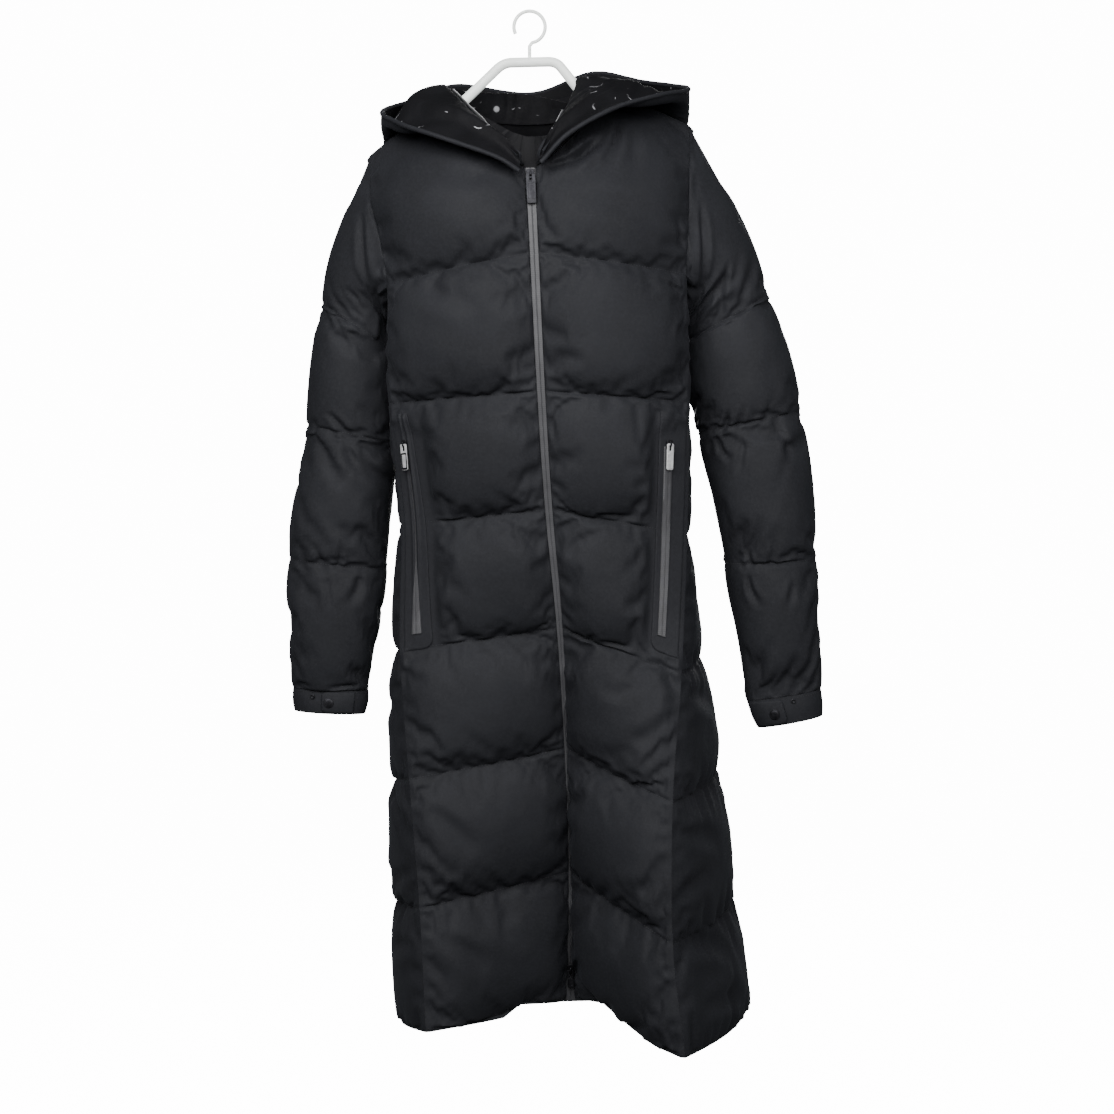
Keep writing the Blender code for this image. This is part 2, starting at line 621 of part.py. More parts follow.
def body_panels():
    wall = wall_rows(6)
    tall = wall_rows(6, YOKE_ROWS)
    sleeve = wall_rows(4)
    panels = []
    for side, turn in (("left", 1), ("right", -1)):
        panels.append(Panel(f"front_{side}", *front_panel(side), False, tall, turn))
        panels.append(Panel(f"side_{side}", *side_panel(side), False, wall, turn))
        panels.append(Panel(f"sleeve_{side}", *sleeve_tube(side), True, sleeve, turn))
        panels.append(Panel(f"cuff_{side}", *cuff_tube(side), True, [0, 1, 2], turn))
    panels.append(Panel("back", *back_panel(), False, tall, 1))
    panels.append(Panel("main_zip", *zip_panel(), False, tall, -1))
    return panels


def make_body():
    """Fronts, sides, back, sleeves, cuffs and the closed zip."""
    panels = body_panels()
    normals = shared_normals(panels)
    surfaces = {}
    for panel in panels:
        finish = zip_tape() if panel.name == "main_zip" else shell_cloth()
        normal = normals[panel.name]
        gap = SEAM_GAP if panel.closed else SEAM_GAP / 2
        base = drawn_in(panel.grid, panel.closed, gap)
        outer = base + normal * (WALL + panel.rise[..., None])
        add_object(panel.name, shell_mesh(panel.name, outer, base, panel.inner_rows, panel.closed),
                   finish)
        surfaces[panel.name] = outer, normal
    return surfaces


# Hood, its binding and the collar inside it

def neck_edge(shares, seat):
    """Points over the body's neck edge, from the zip's left to its right."""
    grids = {name: build() for name, build in (
        ("left", lambda: front_panel("left")[0]), ("back", lambda: back_panel()[0]),
        ("right", lambda: front_panel("right")[0]))}
    half = FRONT_COLUMNS // 2
    back = slice(BACK_SHOULDER_COLUMNS, BACK_COLUMNS - BACK_SHOULDER_COLUMNS + 1)
    runs = []
    for grid, columns in ((grids["left"], slice(0, half + 1)), (grids["back"], back),
                          (grids["right"], slice(half, None, -1))):
        top = grid[-1, columns]
        runs.append(top + unit(top - grid[-2, columns]) * seat)
    return along_chain(np.concatenate([runs[0], runs[1][1:-1], runs[2]]), shares)


def hood_surface(places, shares):
    """Points of the hood's lining: places count the sections, shares run from
    the neck edge at 0 to the mouth's edge at 1."""
    neck = neck_edge([section.neck for section in HOOD_SECTIONS], HOOD_SEAT)
    neck = neck + unit((neck - neck.mean(axis=0)) * (1, 1, 0)) * HOOD_OUTSET
    fold, bottom, edge = (np.array([section[k] for section in HOOD_SECTIONS]) for k in (2, 3, 4))
    outward = unit((bottom - neck) * (1, 1, 0)) * 0.6 + np.array((0, 0, 0.8))
    under = (fold + bottom) / 2 + outward * HOOD_ARCH
    curves = smooth(np.stack([neck, fold, under, bottom, edge], axis=1), places)
    return np.array([along(curve, shares) for curve in curves])


def hood_grids():
    """Lining points and outward normals, neighbours sharing their seam."""
    panels = []
    for name, (start, end) in HOOD_PANELS.items():
        places = np.arange(start, end + 0.01, HOOD_STEP)
        grid = hood_surface(places, np.linspace(0, 1, HOOD_ROWS + 1)).transpose(1, 0, 2)
        rise = HOOD_PUFF * np.sin(np.pi * np.linspace(0, 1, HOOD_ROWS + 1))[:, None]
        rise = rise * np.minimum(1, np.minimum(places, places[::-1][0] - places + 2) / 2)
        panels.append(Panel(name, grid, np.clip(rise, 0, None), False,
                            list(range(HOOD_ROWS + 1)), 1))
    return panels


def make_hood():
    """The hood's panels and binding; returns the lining side of each panel."""
    panels = hood_grids()
    normals = shared_normals(panels)
    linings = {}
    for panel in panels:
        base = drawn_in(panel.grid, False, SEAM_GAP / 2)
        shares = np.linspace(0, 1, HOOD_ROWS + 1)[:, None]
        wall = HOOD_WALL * np.clip(HOOD_FOOT + 3 * shares, 0, 1) + panel.rise
        outer = base + normals[panel.name] * wall[..., None]
        add_object(panel.name, shell_mesh(panel.name, outer, base, panel.inner_rows, False),
                   shell_cloth())
        linings[panel.name] = base, -normals[panel.name]
    edge = hood_surface(np.arange(0, len(HOOD_SECTIONS) - 0.9, 0.5), [0.9, 1.0])
    outward = unit(edge[:, 1] - edge[:, 0])
    side = unit(np.gradient(edge[:, 1], axis=0))
    across = np.cross(side, outward)
    middle = edge[:, 1] + outward * (EDGE_RADIUS + SEAM_GAP) + across * HOOD_WALL / 2
    add_tube("hood_edge", middle, EDGE_RADIUS, shell_cloth())
    return linings


def make_collar():
    """A gathered funnel that stands inside the neck edge."""
    turn = np.linspace(0, 1, COLLAR_GATHERS * 3)
    foot = neck_edge(turn, COLLAR_SEAT)
    inward = unit((foot.mean(axis=0) - foot) * (1, 1, 0))
    foot = foot + inward * COLLAR_INSET
    known = [stand.neck for stand in COLLAR_TOP]
    place = np.interp(turn, known, np.arange(len(known)))
    top = smooth([stand.top for stand in COLLAR_TOP], place)
    wave = np.tile((0.0, 1.0, -0.4), COLLAR_GATHERS)
    grid = []
    for share in (0.0, 0.35, 0.8, 1.0):
        depth = GATHER_DEPTH * math.sin(math.pi * min(share, 0.8))
        grid.append(foot + (top - foot) * share + inward * (wave * depth)[:, None])
    grid = np.array(grid)
    normal = shared_normals([Panel("inner_collar", grid, None, True, None, 1)])["inner_collar"]
    data = shell_mesh("inner_collar", grid, grid - normal * COLLAR_WALL, [0, 1, 2, 3], True)
    add_object("inner_collar", data, lining_cloth())


def add_tube(name, points, radius, finish, sides=2):
    """A solid cord along a chain of points, with flat ends."""
    curve = bpy.data.curves.new(name, "CURVE")
    curve.dimensions = "3D"
    curve.bevel_depth = radius
    curve.bevel_resolution = sides
    curve.use_fill_caps = True
    spline = curve.splines.new("POLY")
    spline.points.add(len(points) - 1)
    for target, point in zip(spline.points, points):
        target.co = (*point, 1.0)
    return add_object(name, curve, finish)


# What lies on the panels

def surface_point(outer, normal, row, column, lift):
    """A point over a panel's outer wall at a fractional row and column."""
    i, j = min(int(row), len(outer) - 2), min(int(column), outer.shape[1] - 2)
    a, b = row - i, column - j
    weights = ((1 - a) * (1 - b), (1 - a) * b, a * (1 - b), a * b)
    corners = ((i, j), (i, j + 1), (i + 1, j), (i + 1, j + 1))
    point = sum(w * outer[c] for w, c in zip(weights, corners))
    out = unit(sum(w * normal[c] for w, c in zip(weights, corners)))
    return point + out * lift, out


def row_at_height(outer, column, height):
    """The fractional row at which a panel's column passes a height."""
    left = int(column)
    share = column - left
    line = outer[:, left, 2] * (1 - share) + outer[:, min(left + 1, outer.shape[1] - 1), 2] * share
    return float(np.interp(height, line, np.arange(len(line))))


def overlay(name, surface, rows, columns, lift, thickness, finish):
    """A thin piece that follows a panel at a grid of fractional places."""
    outer, normal = surface
    low, high = [], []
    for row in rows:
        cells = [surface_point(outer, normal, row, column, lift) for column in columns(row)]
        low.append([point for point, _ in cells])
        high.append([point + out * thickness for point, out in cells])
    low, high = np.array(low), np.array(high)
    data = shell_mesh(name, high, low, list(range(len(low))), False)
    return add_object(name, data, finish)


def facing_columns(side, height):
    """Where a pocket's facing starts and ends across its front."""
    pocket = POCKETS[side]
    share = (height - FACING_BOTTOM) / (FACING_TOP - FACING_BOTTOM)
    inner = pocket.facing_bottom + (pocket.facing_top - pocket.facing_bottom) * share
    rise = np.clip((height - FACING_BOTTOM) / CORNER_RADIUS, 0, 1)
    inner += (1 - math.sqrt(1 - (1 - rise) ** 2)) * CORNER_RADIUS / FRONT_WIDTH
    return inner, FACING_OUTER


def strip_columns(side, height):
    half = POCKET_ZIP_WIDTH / 2 / FRONT_WIDTH
    return POCKETS[side].zip - half, POCKETS[side].zip + half


def pocket_piece(name, side, surface, span, place, lift, wall, finish):
    """A piece that follows the front from one height to another."""
    outer, _ = surface
    middle = POCKETS[side].zip * FRONT_COLUMNS
    low, high = (row_at_height(outer, middle, height) for height in span)
    whole = [k for k in range(len(outer)) if low + 0.4 < k < high - 0.2]
    rows = [low, low + 0.12, low + 0.3, *whole, high]
    heights = outer[:, int(round(middle)), 2]
    whole = list(range(math.ceil(min(place(side, span[0])[0], place(side, span[1])[0])
                                 * FRONT_COLUMNS + 0.3), FRONT_COLUMNS))

    def columns(row):
        height = max(float(np.interp(row, np.arange(len(heights)), heights)), span[0])
        start, end = (share * FRONT_COLUMNS for share in place(side, height))
        return [start, *(k for k in whole if k < end), end]

    overlay(name, surface, rows, columns, lift, wall, finish)


def make_pocket(side, surface):
    pocket_piece(f"pocket_facing_{side}", side, surface, (FACING_BOTTOM, FACING_TOP),
                 facing_columns, FACING_LIFT, FACING_WALL, shell_cloth())
    lift = FACING_LIFT + FACING_WALL + REST_GAP
    pocket_piece(f"pocket_zip_{side}", side, surface, (POCKET_BOTTOM, POCKET_TOP),
                 strip_columns, lift, TAPE_WALL, zip_tape())
    middle = POCKETS[side].zip * FRONT_COLUMNS
    top = row_at_height(surface[0], middle, POCKET_TOP + 0.004)
    make_slider(f"pocket_slider_{side}", f"pocket_pull_{side}", surface, top, middle,
                lift + TAPE_WALL, POCKET_ZIP)


def box_mesh(name, low, high, bevel=0.0):
    """A box between two corners, with its edges bevelled."""
    mesh = bmesh.new()
    bmesh.ops.create_cube(mesh, size=1.0)
    low, high = np.array(low), np.array(high)
    for corner in mesh.verts:
        corner.co = Vector((low + high) / 2 + np.array(corner.co) * (high - low))
    if bevel:
        bmesh.ops.bevel(mesh, geom=mesh.edges[:], offset=bevel, segments=1, affect="EDGES")
    return finished_mesh(mesh, name)


def helper(name, data, place):
    """A shape that only joins or cuts another one."""
    made = bpy.data.objects.new(name, data)
    bpy.context.collection.objects.link(made)
    made.matrix_world = place
    made.hide_render = True
    made.display_type = "WIRE"
    return made


def boolean(target, tool, operation):
    modifier = target.modifiers.new(tool.name, "BOOLEAN")
    modifier.operation = operation
    modifier.object = tool
    modifier.solver = "EXACT"


def make_slider(slider_name, pull_name, surface, row, column, lift, size):
    """A slider on its zip and the pull that hangs from its bridge."""
    outer, normal = surface
    point, out = surface_point(outer, normal, row, column, lift + SEAM_GAP)
    above, _ = surface_point(outer, normal, row + 0.5, column, lift + SEAM_GAP)
    up = unit(above - point)
    across = unit(np.cross(up, out))
    out = np.cross(across, up)
    place = Matrix([[*axis, 0] for axis in (across, -out, up)] + [[0, 0, 0, 1]]).transposed()
    place.translation = point
    half_width, half_height = size.plate_width / 2, size.plate_height / 2
    slider = add_object(slider_name, box_mesh(slider_name, (-half_width, -SLIDER_PLATE, -half_height),
                                              (half_width, 0, half_height), 0.0004), dark_metal())
    slider.matrix_world = place
    half = BRIDGE_WIDTH / 2
    top = -SLIDER_PLATE - BRIDGE_RISE
    bridge = box_mesh("bridge", (-half, top, -BRIDGE_HALF), (half, -SLIDER_PLATE / 2, BRIDGE_HALF))
    hole = box_mesh("hole", (-2 * half, top + BRIDGE_WALL, -BRIDGE_HALF + BRIDGE_WALL),
                    (2 * half, -SLIDER_PLATE, BRIDGE_HALF - BRIDGE_WALL))
    boolean(slider, helper(f"{slider_name}_bridge", bridge, place), "UNION")
    boolean(slider, helper(f"{slider_name}_hole", hole, place), "DIFFERENCE")

    lean = max(0.0, math.atan2(-out[2], up[2]))    # it hangs plumb, or rests on its strip
    axis = (place @ Matrix.Translation((0, -SLIDER_PLATE - BAR_HEIGHT, -BAR_DROP))
            @ Matrix.Rotation(-lean, 4, "X"))
    hinge = bpy.data.objects.new(f"{pull_name}_hinge", None)
    bpy.context.collection.objects.link(hinge)
    hinge.matrix_world = axis
    half_width = size.pull_width / 2
    plate = box_mesh(pull_name, (-half_width, -BAR / 2, BAR / 2 - size.pull_length),
                     (half_width, BAR / 2, BAR / 2), 0.0003)
    pull = add_object(pull_name, plate, dark_metal())
    pull.parent = hinge
    slot = box_mesh("slot", (-SLOT_WIDTH / 2, -BAR, -BAR / 2 - SLOT_LENGTH),
                    (SLOT_WIDTH / 2, BAR, -BAR / 2))
    boolean(pull, helper(f"{pull_name}_slot", slot, axis), "DIFFERENCE")


def make_zip_ends(surfaces, linings):
    """Sliders of the main zip and the two open ends above it."""
    outer, _ = surfaces["main_zip"]
    strip = outer, unit(corner_normals(outer, False, -1))
    for slider, pull, height, size in (
            ("main_slider", "main_pull", MAIN_SLIDER_HEIGHT, MAIN_ZIP),
            ("bottom_slider", "bottom_pull", BOTTOM_SLIDER_HEIGHT, BOTTOM_ZIP)):
        make_slider(slider, pull, strip, row_at_height(outer, 0.5, height), 0.5, REST_GAP, size)
    for side, columns in (("left", np.arange(0.3, 6.1, 0.5)), ("right", np.arange(10.7, 6.4, -0.5))):
        line = fold_line(*linings[f"hood_{side}"], columns, side)
        add_tube(f"zip_top_{side}", line, ZIP_END_RADIUS, zip_tape(), 1)


def fold_line(lining, normal, columns, side):
    """Points over the hood's fold, one for each fractional column."""
    folds = np.array([section.fold for section in HOOD_SECTIONS])
    first = HOOD_PANELS[f"hood_{side}"][0]
    points = []
    for column in columns:
        target = smooth(folds, first + column * HOOD_STEP)
        rows = np.linspace(0, HOOD_ROWS / 2, 60)
        line = [surface_point(lining, normal, row, column, ZIP_END_RADIUS + ZIP_END_LIFT)[0]
                for row in rows]
        points.append(line[int(np.argmin(np.linalg.norm(np.array(line) - target, axis=1)))])
    return points


def make_cuff_tab(side, surface):
    """The strap on a cuff, its snap and the stud beside it."""
    tab = TABS[side]
    top, end = SLEEVE_RINGS[side][-2:]
    angles = ring_angles()

    def column(cosine):
        return float(np.interp(math.acos(cosine), angles, np.arange(len(angles))))

    outer, normal = surface
    ends = sorted((column(tab.inner_end), column(tab.outer_end)))
    inside = [k for k in range(outer.shape[1]) if ends[0] + 0.2 < k < ends[1] - 0.2]
    across = [ends[0], *inside, ends[1]]
    overlay(f"cuff_tab_{side}", surface, [0.06, 1.0, 1.94], lambda row: across, REST_GAP,
            TAB_WALL, shell_cloth())
    for name, (cosine, height), radius, lift in (
            ("snap", tab.snap, SNAP_RADIUS, 2 * REST_GAP + TAB_WALL),
            ("stud", tab.stud, STUD_RADIUS, REST_GAP)):
        point, out = surface_point(outer, normal, 2 * (1 - height), column(cosine), lift)
        add_disc(f"cuff_{name}_{side}", point, out, radius)


def add_disc(name, point, out, radius):
    """A round cap with a bevelled rim, seated on a point and facing out."""
    mesh = bmesh.new()
    bmesh.ops.create_cone(mesh, cap_ends=True, segments=16, radius1=radius, radius2=0.8 * radius,
                          depth=DISC_HEIGHT)
    made = add_object(name, finished_mesh(mesh, name), dark_metal())
    made.matrix_world = (Matrix.Translation(Vector(point + out * DISC_HEIGHT / 2))
                         @ Vector(out).to_track_quat("Z", "Y").to_matrix().to_4x4())


def make_hanger():
    """A bent rod whose arms follow the shoulders, and its hook."""
    arms = {}
    for side in ("left", "right"):
        seam = along(SHOULDER[side], np.linspace(0.04, HANGER_REACH, 6))
        arms[side] = seam - np.outer(np.linspace(*HANGER_DROP, 6), (0, 0, 1))
    chain = np.concatenate([arms["left"][::-1], HANGER_TOP, arms["right"]])
    add_tube("hanger_bar", rounded(chain), HANGER_RADIUS, hanger_plastic(), 2)
    middle = (np.array(HANGER_TOP[1]) + HANGER_TOP[2]) / 2
    centre = -HOOK_BEND
    bend = HOOK_BEND + HOOK_RADIUS
    turns = np.radians(np.linspace(-80, 205, 20))
    circle = [(bend * math.cos(a), 0.0, centre + bend * math.sin(a)) for a in turns]
    foot = (0.0, 0.0, middle[2] + HANGER_RADIUS + SEAM_GAP)
    add_tube("hanger_hook", [foot, (0.0, 0.0, centre - bend - 0.004), *circle], HOOK_RADIUS,
             hanger_plastic(), 1)


def rounded(chain):
    """The chain with each bend replaced by a short curve."""
    points = [chain[0]]
    for before, corner, after in zip(chain[:-2], chain[1:-1], chain[2:]):
        start = corner + (before - corner) * HANGER_CORNER
        end = corner + (after - corner) * HANGER_CORNER
        for t in (0.0, 0.5, 1.0):
            points.append((1 - t) ** 2 * start + 2 * t * (1 - t) * corner + t * t * end)
    return points + [chain[-1]]


# Start with an empty file
for leftover in list(bpy.data.objects):
    bpy.data.objects.remove(leftover, do_unlink=True)

made_surfaces = make_body()
made_linings = make_hood()
make_collar()
make_zip_ends(made_surfaces, made_linings)
for which in ("left", "right"):
    make_pocket(which, made_surfaces[f"front_{which}"])
    make_cuff_tab(which, made_surfaces[f"cuff_{which}"])
make_hanger()
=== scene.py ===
"""A long hooded puffer coat on a plain hanger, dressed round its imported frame.

Metres, +Z up. X runs to the viewer's right and the coat's front looks to -Y;
"left" and "right" are the viewer's. The origin is inside the hanger's hook.
"""

import json
import math
from collections import namedtuple

import bmesh
import bpy
import numpy as np
from bpy.props import FloatProperty, IntProperty, PointerProperty
from mathutils import Matrix, Vector


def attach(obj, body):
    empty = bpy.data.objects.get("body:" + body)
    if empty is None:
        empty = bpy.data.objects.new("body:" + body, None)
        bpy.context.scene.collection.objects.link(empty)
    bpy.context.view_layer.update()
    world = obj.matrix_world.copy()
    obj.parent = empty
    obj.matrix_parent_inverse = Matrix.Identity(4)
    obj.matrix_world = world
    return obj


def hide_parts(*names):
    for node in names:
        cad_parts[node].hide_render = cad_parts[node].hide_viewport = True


bl_info = {
    "name": "Long hooded puffer coat",
    "version": (1, 0, 0),
    "blender": (4, 5, 0),
    "location": "View3D > Sidebar > Coat",
    "description": "Makes a quilted hooded coat, its zips and its hanger as separate pieces",
    "category": "Add Mesh",
}

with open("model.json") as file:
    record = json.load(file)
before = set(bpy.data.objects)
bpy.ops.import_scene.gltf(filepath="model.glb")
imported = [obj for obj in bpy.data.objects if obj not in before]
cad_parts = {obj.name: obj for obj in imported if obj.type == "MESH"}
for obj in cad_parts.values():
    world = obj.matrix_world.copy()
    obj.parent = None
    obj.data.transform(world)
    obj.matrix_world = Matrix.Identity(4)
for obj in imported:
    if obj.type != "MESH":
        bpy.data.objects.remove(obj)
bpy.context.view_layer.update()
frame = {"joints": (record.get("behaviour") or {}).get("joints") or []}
COAT = "coat"            # the body that all cloth rides on
TURNS = {"left": 1, "right": -1}   # which way round the coat a side's panels run

# Sizes shared with the solids, in metres
SEAM_GAP = 0.0003        # clearance between two pieces that meet
WALL = 0.003             # flat shell, lining and wadding at a seam
REST_GAP = 0.0006        # clearance under a piece that lies on a curved panel
BODY_PUFF = 0.018        # rise of a filled body channel over its seams
YOKE_PUFF = 0.012        # rise of the wide top panels
SIDE_PUFF = 0.014
SLEEVE_PUFF = 0.015
CHANNEL_FULLNESS = 2.6   # how boxy a filled channel is; 2 is a parabola
HEM_PUFF = 0.005         # turned hem, thicker than a seam
SEAM_FADE = 0.045        # width over which a channel rises from an upright seam
HOOD_WALL = 0.004
HOOD_PUFF = 0.004
COLLAR_WALL = 0.002
GATHER_DEPTH = 0.0012    # of the collar
EDGE_RADIUS = 0.0028     # binding round the hood's mouth
TAPE_WALL = 0.0014
HANGER_RADIUS = 0.006
HOOK_RADIUS = 0.0022
HOOK_BEND = 0.017        # inner radius of the hook

# What the cloth adds to the solids, in metres unless the comment says otherwise
GATHER_PITCH = 0.015     # along a seam, from pucker to pucker
GATHER_SIZES = ((0.6, 0.3), (1.0, 0.5), (2.4, 0.7))          # against the pitch; share of depth
UNEVEN_SIZES = ((0.085, 0.060, 1.0), (0.030, 0.024, 0.4))    # swells: across, up, share
FOLD_LIP = 0.45          # height of a fold's lips, as a share of its depth
FOLD_LIP_PLACE = 1.7     # from its middle to a lip, in widths
CUFF_SWELL = 0.0016
SLEEVE_BLEND = 0.1       # share of the way round that hides where a sleeve's noise starts
# Share of the even puff that the filling starts from, for each kind of filled panel
FIRST_PUFF = {"front": 0.8, "back": 0.8, "side": 0.45, "sleeve": 0.5}
THINNEST = 0.0022        # of a wall that has puckers
LARGEST_SWELL = 0.008    # how far the filling may press the cloth out
LARGEST_SLIP = 0.004     # and how far along itself
HELD_FLAT = 0.35         # pocket flatness below which the cloth is sewn down
PULL_ROOM = 0.0028       # between the raised bottom pull's middle and the cloth
# The pull's room beside its pivot, above and below it, each with its fade
PULL_REACH = ((0.0132, 0.006), (0.026, 0.010), (0.012, 0.006))
CLOTH_SETTINGS = (
    ("quality", 6), ("mass", 0.05), ("tension_stiffness", 20.0), ("compression_stiffness", 20.0),
    ("shear_stiffness", 7.0), ("bending_stiffness", 0.1), ("air_damping", 1.0),
    ("vertex_group_mass", "sewn"), ("use_pressure", True),
)
# Stitches, and the stitched lines: shares of a cuff, or rows and columns of a grid
STITCH_HALF = 0.38       # half a stitch, as a share of its pitch
STITCH_LIFT = 0.0002
THREAD_RADIUS = 0.00032
CUFF_SEAMS = (0.10, 0.90)
SEAM_MARGIN = 0.004      # share of a seam left out at both ends
ABOVE_CUFF = 0.7
HEM_ROW = 2.2
BESIDE_ZIP = 0.8

# The body's rings, from the hem up to the highest seam: where each quilted
# seam crosses the zip and the four corners, and half the zip's visible width
Ring = namedtuple("Ring", "zip front_left back_left back_right front_right zip_half")
BODY_RINGS = (
    Ring((0.051, -0.045, -1.222), (-0.121, -0.150, -1.229),   # hem
         (-0.164, 0.075, -1.274), (0.282, 0.060, -1.259), (0.181, -0.215, -1.239), 0.0065),
    Ring((0.050, -0.060, -1.055), (-0.129, -0.135, -1.082),   # seam_6
         (-0.167, 0.080, -1.117), (0.261, 0.070, -1.121), (0.167, -0.195, -1.108), 0.0026),
    Ring((0.045, -0.080, -0.898), (-0.142, -0.115, -0.930),   # seam_5
         (-0.164, 0.085, -0.964), (0.238, 0.075, -0.951), (0.168, -0.165, -0.948), 0.0026),
    Ring((0.037, -0.100, -0.749), (-0.154, -0.088, -0.777),   # seam_4
         (-0.152, 0.085, -0.795), (0.212, 0.080, -0.797), (0.180, -0.125, -0.800), 0.0040),
    Ring((0.024, -0.115, -0.606), (-0.153, -0.072, -0.626),   # seam_3
         (-0.139, 0.085, -0.633), (0.178, 0.085, -0.645), (0.188, -0.090, -0.637), 0.0048),
    Ring((0.015, -0.125, -0.466), (-0.167, -0.066, -0.480),   # seam_2
         (-0.130, 0.080, -0.478), (0.151, 0.080, -0.476), (0.191, -0.075, -0.478), 0.0052),
    Ring((0.007, -0.122, -0.304), (-0.168, -0.066, -0.337),   # seam_1
         (-0.129, 0.070, -0.359), (0.144, 0.070, -0.352), (0.187, -0.068, -0.325), 0.0056),
)
# How far each ring bows out between its corners, same rows as BODY_RINGS
Bow = namedtuple("Bow", "front side back")
BODY_BOWS = (
    Bow(0.000, 0.012, 0.030), Bow(0.002, 0.012, 0.030), Bow(0.004, 0.012, 0.030),
    Bow(0.008, 0.008, 0.030), Bow(0.012, 0.003, 0.026), Bow(0.016, 0.000, 0.020),
    Bow(0.018, 0.000, 0.014),
)
# How much of SIDE_PUFF each side channel keeps: sleeves press the upper ones
SIDE_FILL = {"left": (0.50, 0.50, 0.55, 0.55, 0.3, 0.2),
             "right": (0.80, 0.80, 0.80, 0.70, 0.3, 0.2)}
# The zip draws the hem up beside it: share of the front's width, and the lift
HEM_LIFT = {
    "left": ((0.0, 0.0), (0.12, 0.003), (0.36, 0.012), (0.48, 0.0), (1.0, 0.0)),
    "right": ((0.0, 0.0), (0.12, 0.010), (0.30, 0.020), (0.77, 0.0), (1.0, 0.0)),
}
HEM_LIFT_CHANNELS = 0.6  # the lift fades out over this much of the lowest channel
YOKE_BULGE = 0.020       # how far the chest and the shoulder blades round out

ZIP_TOP = (0.002, -0.105, -0.203)
ZIP_TOP_HALF = 0.0060
# Curves of the top edges, each from its lower or front end
NECK_FRONT = {
    "left": ((-0.040, -0.090, -0.180), (-0.080, -0.052, -0.142), (-0.106, 0.000, -0.109)),
    "right": ((0.037, -0.090, -0.178), (0.070, -0.054, -0.141), (0.106, 0.000, -0.104)),
}
NECK_BACK = ((-0.106, 0.000, -0.109), (-0.078, 0.044, -0.119), (-0.030, 0.063, -0.126),
             (0.030, 0.063, -0.125), (0.078, 0.044, -0.116), (0.106, 0.000, -0.104))
SHOULDER = {
    "left": ((-0.106, 0.000, -0.109), (-0.152, 0.006, -0.139), (-0.196, 0.012, -0.173)),
    "right": ((0.106, 0.000, -0.104), (0.153, 0.006, -0.119), (0.196, 0.012, -0.137)),
}
ARMHOLE_FRONT = {
    "left": ((-0.178, -0.057, -0.280), (-0.190, -0.040, -0.234), (-0.196, 0.012, -0.173)),
    "right": ((0.190, -0.058, -0.272), (0.192, -0.038, -0.205), (0.196, 0.012, -0.137)),
}
ARMHOLE_BACK = {
    "left": ((-0.152, 0.077, -0.295), (-0.182, 0.062, -0.228), (-0.196, 0.012, -0.173)),
    "right": ((0.163, 0.077, -0.285), (0.184, 0.060, -0.200), (0.196, 0.012, -0.137)),
}
UNDERARM = {"left": (-0.157, 0.008, -0.376), "right": (0.172, 0.008, -0.368)}

# The sleeves' seams below the armhole: the ring's outermost and innermost
# points, and half its depth from front to back
Cross = namedtuple("Cross", "outer inner half_depth")
SLEEVE_RINGS = {
    "left": (
        Cross((-0.232, 0.012, -0.266), (-0.178, 0.012, -0.378), 0.050),   # cap
        Cross((-0.255, 0.012, -0.355), (-0.174, 0.016, -0.410), 0.046),   # seam_1
        Cross((-0.275, 0.014, -0.505), (-0.173, 0.016, -0.527), 0.042),   # seam_2
        Cross((-0.298, 0.004, -0.672), (-0.183, 0.006, -0.684), 0.038),   # seam_3
        Cross((-0.294, -0.008, -0.833), (-0.206, -0.006, -0.836), 0.024),   # cuff
        Cross((-0.292, -0.010, -0.862), (-0.210, -0.010, -0.866), 0.023),   # cuff_end
    ),
    "right": (
        Cross((0.252, 0.012, -0.240), (0.196, 0.010, -0.372), 0.050),   # cap
        Cross((0.294, 0.012, -0.345), (0.199, 0.014, -0.400), 0.046),   # seam_1
        Cross((0.334, 0.008, -0.489), (0.214, 0.010, -0.512), 0.042),   # seam_2
        Cross((0.354, -0.002, -0.672), (0.247, 0.000, -0.677), 0.038),   # seam_3
        Cross((0.361, -0.012, -0.834), (0.274, -0.012, -0.848), 0.024),   # cuff
        Cross((0.363, -0.014, -0.868), (0.288, -0.016, -0.882), 0.022),   # cuff_end
    ),
}
FRONT_ARC = 0.70 * math.pi     # share of a sleeve ring that joins the front yoke
# How full each sleeve channel is from the armhole down, outside and where it
# faces the body, which presses it flat
SLEEVE_FILL = (0.50, 0.75, 0.80, 0.85)
INNER_FILL = {"left": (0.12, 0.19, 0.30, 0.52), "right": (0.45, 0.80, 0.45, 0.52)}

